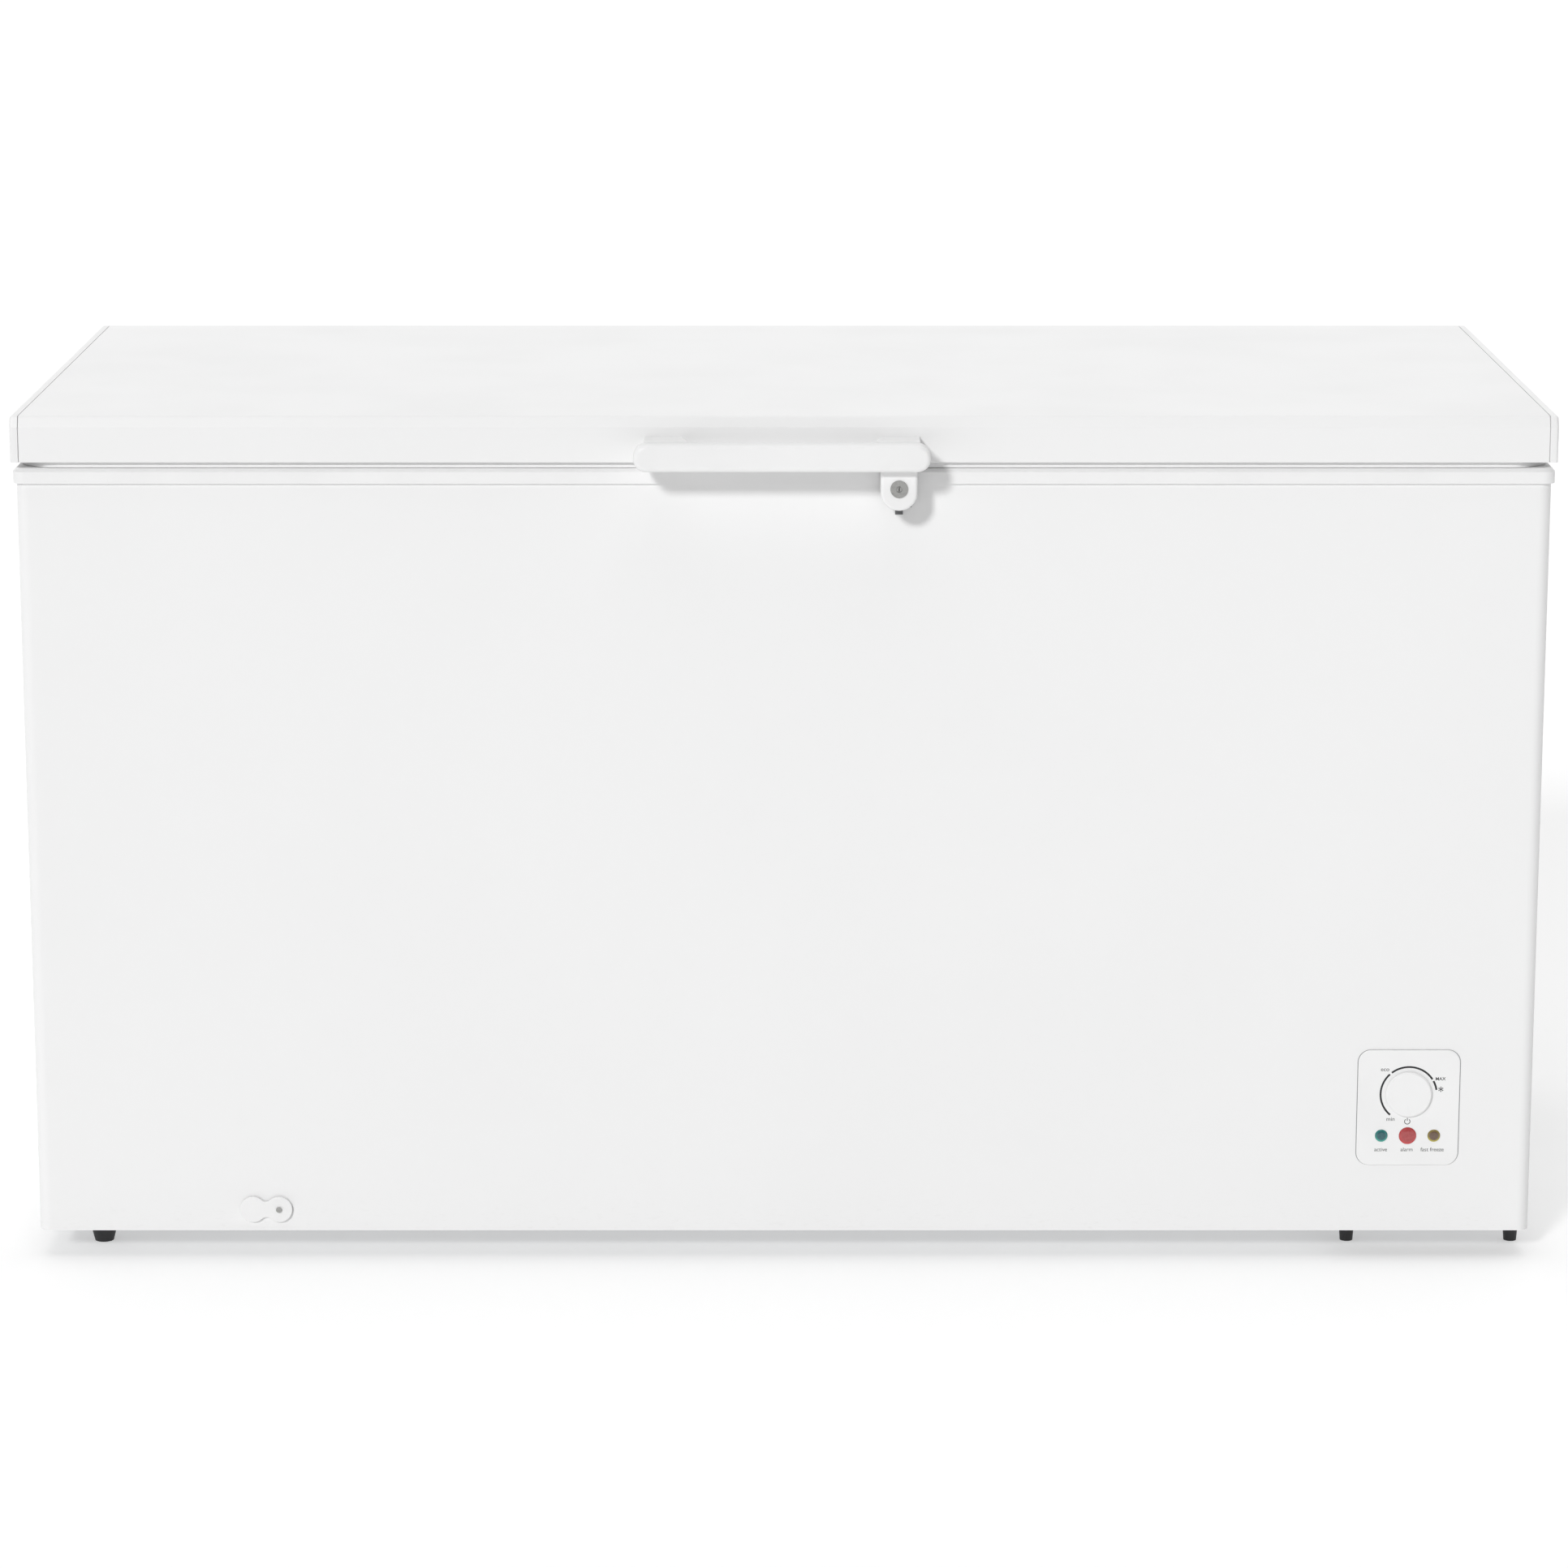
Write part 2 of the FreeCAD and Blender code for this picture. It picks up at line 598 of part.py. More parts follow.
relay = plate("compressor_relay_cover", "XY", CAN_Z + 20, CAN_Z + 76,
              rect(d.can_x - 26, d.can_y - R - 34, d.can_x + 26, d.can_y - R + 1))
soften(relay, 4, lambda p: p.y < float(d.can_y - R) - 30, along="z")

DRIER_X, DRIER_Y, DRIER_Z = BAY_X0 + 10.2, d.can_y - 150, CAN_Z + 20
drier = body("filter_drier")
turned(drier, [(0, 0), (3, 0), (3, 12), (10, 22), (10, 92), (3, 102), (3, 114), (0, 114)])
bind(drier, Placement__Base__x=DRIER_X, Placement__Base__y=DRIER_Y, Placement__Base__z=DRIER_Z)

tube("discharge_tube", d.tube_radius - 1, 14,
     (d.can_x, d.can_y, TOP - 8), (d.can_x, d.can_y, TOP + 16), (RIGHT, d.can_y, TOP + 16),
     (RIGHT, COIL_Y, TOP + 16), (RIGHT, COIL_Y, BAY_Z1 - 6))
tube("suction_tube", d.tube_radius, 14,
     (d.can_x - 20, d.can_y, TOP - 8), (d.can_x - 20, d.can_y, TOP + 28), (BAY_X0 + 40, d.can_y, TOP + 28),
     (BAY_X0 + 40, TUB_Y1 + EVAP, TOP + 28), (BAY_X0 + 40, TUB_Y1 + EVAP, BAY_Z1 - 6))
tube("capillary_tube", 1.2, 8,
     (DRIER_X, DRIER_Y, DRIER_Z + 114.05), (DRIER_X, DRIER_Y, DRIER_Z + 140),
     (DRIER_X, DRIER_Y + 60, DRIER_Z + 140), (DRIER_X, DRIER_Y + 60, BAY_Z1 - 2))

# ---------------------------------------------------------------- vents, inlet and feet


def louvred(label, plane, start, end, u0, v0, u1, v1, slots, head=18):
    """A plate with a row of upright slots under a plain head."""
    pitch = (u1 - u0 - 24) / slots
    openings = [rect(u0 + 14 + i * pitch, v0 + 18, u0 + 8 + (i + 1) * pitch, v1 - head) for i in range(slots)]
    return plate(label, plane, start, end, rect(u0, v0, u1, v1), *openings)


GLAND_X, GLAND_Z = BAY_X0 + 60, BAY_Z1 - 15
grille = louvred("rear_grille", "XZ", CAB_Y1, CAB_Y1 + 2,
                 BAY_X0 - 4, CAB_Z + 8, REAR_X, GRILLE_TOP, 9, head=60)
cut(grille, "XZ", CAB_Y1 - 1, CAB_Y1 + 3, disc(GLAND_X, GLAND_Z, 7.2))
louvred("side_vent_grille", "YZ", CAB_X, CAB_X + 2,
        VENT_Y0 - 8, VENT_Z0 - 8, VENT_Y1 + 8, VENT_Z1 + 8, 12)
keep("mains_cord_gland", joined(rod("y", GLAND_X, CAB_Y1 - 12, GLAND_Z, 7, 22),
                                rod("y", GLAND_X, CAB_Y1 + 2, GLAND_Z, 11, 4)))

FEET_Y = (CAB_Y0 + d.foot_setback, CAB_Y1 - d.foot_setback)
LEFT_FEET = [(-d.left_foot_x, y) for y in FEET_Y]
BAY_FEET = [(x, y) for x in (d.bay_foot_in, d.bay_foot_out) for y in FEET_Y]


def foot(x, y, height, top, bottom):
    made = doc.addObject("Part::Cone", "foot")
    bind(made, Radius1=bottom, Radius2=top, Height=height)
    return bind(made, Placement__Base__x=x, Placement__Base__y=y)


group("feet", [foot(x, y, CAB_Z, 16.5, 9.5) for x, y in LEFT_FEET]
      + [foot(x, y, BASE_Z0, 8, 6.5) for x, y in BAY_FEET])
BOLT_X = (d.bay_foot_in + d.bay_foot_out) / 2 + 28
group("base_bolts", [rod("z", BOLT_X, y, BASE_Z0 - 5, 6, 5) for y in FEET_Y])

# ---------------------------------------------------------------- control panel

BX, BZ, KZ, LZ = d.bezel_x, d.bezel_z, d.knob_z, d.lamp_z
HALF_W, HALF_H = d.bezel_width / 2, d.bezel_height / 2
LAMPS = [("lamp_active", BX - d.lamp_pitch, d.lamp_small), ("lamp_alarm", BX, d.lamp_large),
         ("lamp_fast_freeze", BX + d.lamp_pitch, d.lamp_small)]
bezel = plate("control_bezel", "XZ", BEZEL_Y, CAB_Y0,
              round_rect(BX - HALF_W, BZ - HALF_H, BX + HALF_W, BZ + HALF_H, d.bezel_corner),
              disc(BX, KZ, 5), *[disc(x, LZ, r + 0.2) for _, x, r in LAMPS])
prism(bezel, "XZ", CAB_Y0 - 0.5, CAB_Y0 + 5,
      rect(BX - PANEL_X + 0.4, BZ - PANEL_Z + 0.4, BX + PANEL_X - 0.4, BZ + PANEL_Z - 0.4),
      rect(BX - PANEL_X + 2, BZ - PANEL_Z + 2, BX + PANEL_X - 2, BZ + PANEL_Z - 2))
soften(bezel, 0.7, lambda p: near(p.y, BEZEL_Y) and (abs(p.x - float(BX)) > float(HALF_W) - 8
                                                    or abs(p.z - float(BZ)) > float(HALF_H) - 8))

HOUSE_Y0, HOUSE_Y1 = CAB_Y0 + 5.3, CAB_Y0 + 58
housing = plate("control_housing", "XZ", HOUSE_Y0, HOUSE_Y1, rect(BX - 46, BZ - 54, BX + 46, BZ + 54))
cut(housing, "XZ", HOUSE_Y0 - 1, HOUSE_Y1 - 2, rect(BX - 44, BZ - 52, BX + 44, BZ + 52))
thermostat = plate("thermostat", "XZ", CAB_Y0 + 20, CAB_Y0 + 48, rect(BX - 20, KZ - 16, BX + 20, KZ + 16))
prism(thermostat, "XZ", CAB_Y0 + 6, CAB_Y0 + 20, disc(BX, KZ, 5))
cut(thermostat, "XZ", CAB_Y0 + 5, CAB_Y0 + 44, disc(BX, KZ, d.shaft_radius + d.barrel_fit))
BOARD_Y = CAB_Y0 + 14
plate("lamp_board", "XZ", BOARD_Y, BOARD_Y + 1.6, rect(BX - 42, LZ - 12, BX + 42, LZ + 12))
for label, x, r in LAMPS:
    lamp = body(label)
    turned(lamp, [(0, 0), (r - 2, 0), (r - 2, 12.2), (r + 1.5, 12.2), (r + 1.5, 13.6), (r, 13.6), (r, 15.6),
                  (r * 0.86, 16.4), (r * 0.55, 16.9), (0, 17.2)])
    lamp.Placement = Placement(Vector(), Rotation(Vector(1, 0, 0), 90))
    bind(lamp, Placement__Base__x=x, Placement__Base__y=BOARD_Y - 0.1, Placement__Base__z=LZ)
tube("wiring_loom", 3, 12,
     (BX, BOARD_Y + 2, LZ - 5), (BX, CAB_Y0 + 52, LZ - 5),
     (BX, CAB_Y0 + 52, CAN_Z + 48), (BX, d.can_y - R - 34.2, CAN_Z + 48))
cut(housing, "XY", BZ - 55, BZ - 51, rect(BX - 5, CAB_Y0 + 47, BX + 5, CAB_Y0 + 57))

knob = body("thermostat_knob")
K = d.knob_radius
turned(knob, [(0, 0), (K - 0.8, 0), (K, 0.6), (K - 0.2, d.knob_reach - 1.2), (K - 1.6, d.knob_reach),
              (4, d.knob_reach + 0.4), (0, d.knob_reach + 0.4)])
prism(knob, "XY", -40, 0.5, disc(0, 0, d.shaft_radius))
cut(knob, "XY", d.knob_reach - 0.1, d.knob_reach + 1, rect(-0.9, -K + 3, 0.9, -K + 11))
knob.Placement = Placement(Vector(), Rotation(Vector(1, 0, 0), 90))
bind(knob, Placement__Base__x=BX, Placement__Base__y=BEZEL_Y - 0.4, Placement__Base__z=KZ)

# ---------------------------------------------------------------- drain

DRAIN_RUN = [(DRAIN_X, d.drain_y, TUB_Z - 0.2), (DRAIN_X, d.drain_y, d.drain_z),
             (DRAIN_X, CAB_Y0 - 0.2, d.drain_z)]
keep("drain_tube", minus(bent(d.drain_bore + 1.2, 8.5, *DRAIN_RUN), bent(d.drain_bore, 8.5, *DRAIN_RUN)))
cover = body("drain_cover")
COVER_Y0, COVER_Y1 = CAB_Y0 - 3.6, CAB_Y0 - 0.6
L = d.drain_lobe
prism(cover, "XZ", COVER_Y0, COVER_Y1, disc(DRAIN_X, d.drain_z, L))
prism(cover, "XZ", COVER_Y0, COVER_Y1,
      rect(-d.drain_x - 8, d.drain_z - d.drain_waist, -d.drain_x + 8, d.drain_z + d.drain_waist))
prism(cover, "XZ", COVER_Y0, COVER_Y1, disc(PIVOT_X, d.drain_z, L))
cut(cover, "XZ", COVER_Y0 - 1, COVER_Y1 + 1, disc(PIVOT_X, d.drain_z, 2.1))
soften(cover, 5, lambda p: abs(p.x + float(d.drain_x)) < 5, along="y")
soften(cover, 0.8, lambda p: near(p.y, COVER_Y0) and abs(p.x - float(PIVOT_X)) > 1)
keep("drain_cover_screw", joined(rod("y", PIVOT_X, CAB_Y0 - 3.4, d.drain_z, 2, 4.4),
                                 rod("y", PIVOT_X, COVER_Y0 - 1.3, d.drain_z, 2.9, 1)))
plug = body("drain_plug")
turned(plug, [(0, -9), (d.drain_bore - 1, -9), (d.drain_bore - 0.3, -1), (d.drain_bore - 0.3, 1.4),
              (13, 1.4), (13, 3.6), (4, 4.4), (4, 10), (0, 10)])
bind(plug, Placement__Base__x=DRAIN_X, Placement__Base__y=d.drain_y, Placement__Base__z=TUB_Z)

# ---------------------------------------------------------------- lid

SKIN_X = d.lid_width / 2 - d.cap_width - d.cap_seam
TOP_Z = d.total_height
FACET = TOP_Z - d.facet_drop
SLOPE_Y = FRONT + d.facet_set
s = d.sheet
skin = plate("lid_skin", "YZ", -SKIN_X, SKIN_X,
             polygon((FRONT + d.hem, LID_Z), (FRONT, LID_Z), (FRONT, FACET), (SLOPE_Y, TOP_Z), (BACK, TOP_Z),
                     (BACK, LID_Z), (BACK - d.hem, LID_Z), (BACK - d.hem, LID_Z + s), (BACK - s, LID_Z + s),
                     (BACK - s, TOP_Z - s), (SLOPE_Y + 0.6, TOP_Z - s), (FRONT + s, FACET),
                     (FRONT + s, LID_Z + s), (FRONT + d.hem, LID_Z + s)))
soften(skin, 3.2, lambda p: near(p.y, SLOPE_Y) and near(p.z, TOP_Z), along="x")
soften(skin, 2.4, lambda p: near(p.y, FRONT) and near(p.z, FACET), along="x")
soften(skin, 2.0, lambda p: near(p.y, BACK) and near(p.z, TOP_Z), along="x")
soften(skin, 0.9, lambda p: near(p.z, LID_Z) and (near(p.y, FRONT) or near(p.y, BACK)), along="x")

for side, label in ((-1, "lid_end_cap_left"), (1, "lid_end_cap_right")):
    outer, inner = side * d.lid_width / 2, side * (d.lid_width / 2 - d.cap_width)
    tip = side * (d.lid_width / 2 - d.cap_width - d.cap_tongue)
    lo, hi = (outer, inner) if side < 0 else (inner, outer)
    cap = plate(label, "YZ", lo, hi,
                polygon((FRONT, LID_Z), (FRONT, FACET), (SLOPE_Y, TOP_Z), (BACK, TOP_Z), (BACK, LID_Z)))
    lo, hi = (inner, tip) if side < 0 else (tip, inner)
    prism(cap, "YZ", lo, hi,
          polygon((FRONT + 1.4, LID_Z + 1.6), (FRONT + 1.4, FACET - 0.6), (SLOPE_Y + 1.4, TOP_Z - 1.4),
                  (BACK - 1.4, TOP_Z - 1.4), (BACK - 1.4, LID_Z + 1.6)))
    soften(cap, 2.4, lambda p: p.z > float(LID_Z) + 2 and near(p.x, float(outer + inner) / 2, 2.2), along="x")
    soften(cap, 3, lambda p: near(p.x, outer, 0.5) and p.z > float(LID_Z) + 1)

FOAM_X = SKIN_X - d.cap_tongue - 0.6
core = plate("lid_foam", "YZ", -FOAM_X, FOAM_X,
             polygon((FRONT + 1.4, LID_Z + 1.6), (FRONT + 1.4, FACET - 0.6), (SLOPE_Y + 1.6, TOP_Z - 1.4),
                     (BACK - 1.4, TOP_Z - 1.4), (BACK - 1.4, LID_Z + 1.6)))
PAN_X, PAN_Y0, PAN_Y1 = d.lid_width / 2 - d.pan_inset, FRONT + d.pan_inset, BACK - d.pan_inset
w = d.panel_wall
prism(core, "XY", LID_Z - d.pan_drop + w + 0.2, LID_Z + 2,
      round_rect(w + 0.2 - PAN_X, PAN_Y0 + w + 0.2, PAN_X - w - 0.2, PAN_Y1 - w - 0.2,
                 d.pan_corner - w - 0.2))

panel = plate("lid_inner_panel", "XY", LID_Z, LID_Z + w,
              rect(0.6 - SKIN_X, FRONT + d.hem + 0.4, SKIN_X - 0.6, BACK - d.hem - 0.4))
prism(panel, "XY", LID_Z - d.pan_drop, LID_Z + w - 0.2,
      round_rect(-PAN_X, PAN_Y0, PAN_X, PAN_Y1, d.pan_corner))
cut(panel, "XY", LID_Z - d.pan_drop + w, LID_Z + w + 1,
    round_rect(w - PAN_X, PAN_Y0 + w, PAN_X - w, PAN_Y1 - w, d.pan_corner - w))

GASKET_Z = RIM_Z + d.seal_clear
g0, g1 = d.gasket_inset, d.gasket_inset + d.gasket_width
seal = plate("lid_gasket", "XY", GASKET_Z, LID_Z - 0.05,
             round_rect(g0 - RIM_X, RIM_Y0 + g0, RIM_X - g0, RIM_Y1 - g0, 18),
             round_rect(g1 - RIM_X, RIM_Y0 + g1, RIM_X - g1, RIM_Y1 - g1, 6))

# ---------------------------------------------------------------- handle and lock

HX = d.handle_x
GRIP_Y0, GRIP_Y1 = FRONT - d.handle_reach, FRONT - d.handle_reach + d.handle_thick
GRIP_Z0 = LID_Z - d.handle_drop
GRIP_HALF = d.handle_width / 2
handle = plate("handle_grip", "XZ", GRIP_Y0, GRIP_Y1,
               round_rect(HX - GRIP_HALF, GRIP_Z0, HX + GRIP_HALF, GRIP_Z0 + d.handle_height, d.handle_end))
NECK_Z = LID_Z + d.neck_low
NECK_TOP = NECK_Z + d.neck_height
PAD_Z = NECK_TOP - d.pad_height
for side in (-1, 1):
    inner, outer = HX + side * d.neck_near, HX + side * d.neck_far
    flare = inner - 7 * side
    corners = [(flare, GRIP_Y1 - 1), (outer, GRIP_Y1 - 1), (outer, FRONT - 1), (inner, FRONT - 1)]
    prism(handle, "XY", NECK_Z, NECK_TOP, polygon(*(corners if side > 0 else reversed(corners))))
    lo, hi = (outer, inner) if side < 0 else (inner, outer)
    prism(handle, "XZ", FRONT - d.pad_thick, FRONT, rect(lo, PAD_Z, hi, NECK_TOP))
soften(handle, 4.5, lambda p: near(p.y, GRIP_Y0))
HANDLE_SCREWS = [(HX + sx * (d.neck_near + 18), NECK_TOP - d.pad_height / 2 + sz * 7)
                 for sx in (-1, 1) for sz in (-1, 1)]
group("handle_screws", [joined(rod("y", x, FRONT + 1.6, z, 5, 2.6), rod("y", x, FRONT - 2.4, z, 2, 5))
                        for x, z in HANDLE_SCREWS])
cut(handle, "XZ", FRONT - 2.4, FRONT + 1, *[disc(x, z, 2.05) for x, z in HANDLE_SCREWS])
cut(skin, "XZ", FRONT - 1, FRONT + 1.2, *[disc(x, z, 2.2) for x, z in HANDLE_SCREWS])
cut(core, "XZ", FRONT, FRONT + 5, *[disc(x, z, 6) for x, z in HANDLE_SCREWS])

LW, LX = d.lock_width / 2, d.lock_x
WALL = d.lock_wall
ARC_Z = LOCK_Z - d.lock_low + LW
HOUSING_BACK = FRONT - 0.4
HOUSING_TOP = GRIP_Z0 - 0.2
HEAD_Y0, HEAD_Y1, HEAD_TOP = GRIP_Y1 + 0.2, FRONT - d.pad_thick - 0.2, NECK_Z - 0.2
shroud = plate("lock_housing", "XZ", LOCK_Y, HOUSING_BACK, rect(LX - LW, ARC_Z, LX + LW, HOUSING_TOP))
prism(shroud, "XZ", LOCK_Y, HOUSING_BACK, disc(LX, ARC_Z, LW))
prism(shroud, "XZ", HEAD_Y0, HEAD_Y1, rect(LX - LW, HOUSING_TOP - 1, LX + LW, HEAD_TOP))
soften(shroud, 3, lambda p: near(p.y, LOCK_Y) and p.z < float(HOUSING_TOP) - 1)
cut(shroud, "XZ", LOCK_Y + WALL, HOUSING_BACK + 1,
    rect(LX - LW + WALL, ARC_Z, LX + LW - WALL, HOUSING_TOP - WALL))
cut(shroud, "XZ", HEAD_Y0 + WALL, HOUSING_BACK + 1,
    rect(LX - LW + WALL, HOUSING_TOP - WALL - 1, LX + LW - WALL, HEAD_TOP - WALL))
cut(shroud, "XZ", LOCK_Y + WALL, HOUSING_BACK + 1, disc(LX, ARC_Z, LW - WALL))
cut(shroud, "XZ", FRONT - 13, HOUSING_BACK + 1, rect(LX - LW - 1, ARC_Z - LW - 1, LX + LW + 1, ARC_Z - 4))
prism(shroud, "XZ", LOCK_Y + 1, FRONT - 12, disc(LX, LOCK_Z, d.barrel_radius + 3))
cut(shroud, "XZ", LOCK_Y - 1, FRONT - 11, disc(LX, LOCK_Z, d.barrel_radius + d.barrel_fit))

barrel = plate("lock_cylinder", "XZ", LOCK_Y - 1, FRONT - 8.5, disc(LX, LOCK_Z, d.barrel_radius))
cut(barrel, "XZ", FRONT - 12, FRONT - 8,
    disc(LX, LOCK_Z, d.barrel_radius + 1), disc(LX, LOCK_Z, d.stem_radius))
cut(barrel, "XZ", LOCK_Y - 2, LOCK_Y + 0.5, disc(LX, LOCK_Z, 3), disc(LX, LOCK_Z, 2.3))
cut(barrel, "XZ", LOCK_Y - 2, LOCK_Y + 8, rect(LX - 0.45, LOCK_Z - 1.9, LX + 0.45, LOCK_Z + 1.9))
CAM_Y0, CAM_Y1 = FRONT - 11, FRONT - 11 + d.cam_thick
cam = plate("lock_cam", "XZ", CAM_Y0, CAM_Y1, disc(LX, LOCK_Z, 6.5), disc(LX, LOCK_Z, d.stem_radius))
prism(cam, "XZ", CAM_Y0, CAM_Y1, polygon((LX - 3, LOCK_Z - 5), (LX - 3, LOCK_Z - d.cam_reach),
                                         (LX + 3, LOCK_Z - d.cam_reach), (LX + 3, LOCK_Z - 5)))

HOOK_X0, HOOK_X1 = LX - d.cam_reach, LX - 8
keeper = plate("lock_keeper", "XZ", CAB_Y0 - 1.6, CAB_Y0,
               rect(LX - 10, LOCK_Z - 23.8, LX + 13, RIM_Z - d.rim_height - 1))
prism(keeper, "XZ", CAB_Y0 - 1.6, CAB_Y0, rect(LX - 3, LOCK_Z - 31, LX + 4.5, LOCK_Z - 23))
prism(keeper, "XZ", FRONT - 3, CAB_Y0, rect(HOOK_X0, LOCK_Z - 14, LX - 4, LOCK_Z - 8))
prism(keeper, "XZ", FRONT - 3, FRONT - 1, rect(HOOK_X0, LOCK_Z - 14, HOOK_X1, LOCK_Z + 5.8))
prism(keeper, "XZ", CAM_Y0 - 0.5, FRONT - 1, rect(HOOK_X0, LOCK_Z + 3.8, HOOK_X1, LOCK_Z + 5.8))

# ---------------------------------------------------------------- hinges

HINGE_TOP = HINGE_Z - 14
COVER_FACE = BACK + d.rear_reach


def hinge_base(label, x):
    """A channel on the back of the cabinet with two ears round the pin."""
    half = d.hinge_half
    made = body(label)
    back_of_panel = CAB_Y1 + d.sheet
    low = HINGE_Z - d.hinge_drop

    def ear(start):
        prism(made, "YZ", start, start + 3,
              polygon((back_of_panel, low), (COVER_FACE - 8, low), (COVER_FACE, low + 10),
                      (COVER_FACE, HINGE_Z - 8), (HINGE_Y + d.knuckle, HINGE_Z),
                      (HINGE_Y - d.knuckle, HINGE_Z), (BACK + 0.6, HINGE_TOP),
                      (back_of_panel, HINGE_TOP - 8)))
        prism(made, "YZ", start, start + 3, disc(HINGE_Y, HINGE_Z, d.knuckle))

    ear(x - half)
    prism(made, "XZ", COVER_FACE - 2.5, COVER_FACE, rect(x - half, low + 10, x + half, HINGE_TOP - 4))
    prism(made, "XZ", back_of_panel, back_of_panel + 2.5, rect(x - half, low, x + half, HINGE_TOP - 8))
    ear(x + half - 3)
    cut(made, "YZ", x - half - 1, x + half + 1, disc(HINGE_Y, HINGE_Z, d.pin_radius + d.barrel_fit))
    return made


def hinge_leaf(label, x):
    """A plate on the lid's back with a knuckle between the ears."""
    half = d.hinge_half - 4
    made = plate(label, "XZ", BACK, BACK + 2.5, rect(x - half, HINGE_Z + 6.5, x + half, TOP_Z - 6))
    prism(made, "YZ", x - half, x + half,
          polygon((BACK, HINGE_Z + 6), (BACK + 0.3, HINGE_Z - 1), (HINGE_Y, HINGE_Z - 4),
                  (HINGE_Y, HINGE_Z + 4), (BACK + 2.5, HINGE_Z + 8.5), (BACK, HINGE_Z + 8.5)))
    prism(made, "YZ", x - half, x + half, disc(HINGE_Y, HINGE_Z, d.knuckle))
    cut(made, "YZ", x - half - 1, x + half + 1, disc(HINGE_Y, HINGE_Z, d.pin_radius + d.barrel_fit))
    return made


def hinge_spring(x):
    """A compression spring that stands in the channel under the knuckle."""
    low = HINGE_Z - d.hinge_drop + 4
    wire, coil, rise, turns = 1.3, 6.5, 76, 12
    path = Part.makeHelix(rise / turns, rise, coil)
    ring = Part.Wire(Part.makeCircle(wire, Vector(coil, 0, 0), Vector(0, 1, 0)))
    made = doc.addObject("Part::Feature", "spring")
    made.Shape = Part.Wire(path).makePipeShell([ring], True, True)
    return bind(made, Placement__Base__x=x, Placement__Base__y=(CAB_Y1 + d.sheet + COVER_FACE) / 2,
                Placement__Base__z=low)


def hinge_pin(x):
    """A plain pin with a head at each end."""
    return joined(rod("x", x - d.hinge_half - 1, HINGE_Y, HINGE_Z, d.pin_radius, 2 * d.hinge_half + 2),
                  rod("x", x - d.hinge_half - 2.2, HINGE_Y, HINGE_Z, 4.6, 2),
                  rod("x", x + d.hinge_half + 0.2, HINGE_Y, HINGE_Z, 4.6, 2))


SIDES = {"left": -d.hinge_x, "right": d.hinge_x}
for side, x in SIDES.items():
    hinge_base("hinge_base_" + side, x)
    hinge_leaf("hinge_leaf_" + side, x)
group("hinge_springs", [hinge_spring(x) for x in SIDES.values()])
group("hinge_pins", [hinge_pin(x) for x in SIDES.values()])
group("hinge_leaf_screws", [rod("y", x + sx * 16, BACK + 2.5, HINGE_Z + 28 + sz * 8, 4, 1.8)
                            for x in SIDES.values() for sx in (-1, 1) for sz in (-1, 1)])

# ---------------------------------------------------------------- basket

BASKET_Z = LEDGE_Z - d.basket_depth
BX0, BX1 = d.basket_x - d.basket_width / 2, d.basket_x + d.basket_width / 2
BY0, BY1 = RIM_Y0 + d.rim_lip + d.basket_gap, RIM_Y1 - d.rim_lip - d.basket_gap
FRAME, THIN = d.basket_wire, d.basket_thin
TOP_FRAME = FRAME * 1.3
WIRE_TOP = LEDGE_Z + FRAME + 0.35
RINGS = (BASKET_Z + 60, BASKET_Z + 120)
INWARD = (FRAME + THIN) * 0.85


def spread(count, first, last):
    """Evenly spaced places from the first to the last."""
    return [first + (last - first) * i / (count - 1) for i in range(count)]


def wire(axis, start, end, u, v, radius):
    """A straight wire along one axis; u and v are its places on the two other axes, in order."""
    spot = {"x": (start, u, v), "y": (u, start, v), "z": (u, v, start)}[axis]
    return rod(axis, *spot, radius, size(end) - start)


SEAT = FRAME * 2 + 0.03
CROSS_Z = BASKET_Z + THIN * 1.7
keep("basket_floor", joined(
    *[wire("y", BY0 + SEAT, BY1 - SEAT, x, BASKET_Z, THIN) for x in spread(9, BX0 + 14, BX1 - 14)],
    *[wire("x", BX0 + SEAT, BX1 - SEAT, y, CROSS_Z, THIN) for y in spread(7, BY0 + 30, BY1 - 30)]))


def long_side(y, inside):
    """Front or back wall: frame wires above and below, uprights between, two rings on the inside."""
    return joined(*[wire("z", BASKET_Z, WIRE_TOP, x, y, THIN) for x in spread(9, BX0 + 10, BX1 - 10)],
                  *[wire("x", BX0, BX1, inside, z, THIN) for z in RINGS],
                  wire("x", BX0, BX1, y, WIRE_TOP, TOP_FRAME),
                  wire("x", BX0, BX1, y, BASKET_Z, FRAME))


def short_side(x, inside):
    """Left or right wall, between the two long ones."""
    low, high = BY0 + FRAME + TOP_FRAME + 0.03, BY1 - FRAME - TOP_FRAME - 0.03
    return joined(*[wire("z", BASKET_Z, WIRE_TOP, x, y, THIN) for y in spread(17, BY0 + 12, BY1 - 12)],
                  *[wire("y", BY0 + 10, BY1 - 10, inside, z, THIN) for z in RINGS],
                  wire("y", low, high, x, WIRE_TOP, TOP_FRAME),
                  wire("y", low, high, x, BASKET_Z, FRAME))


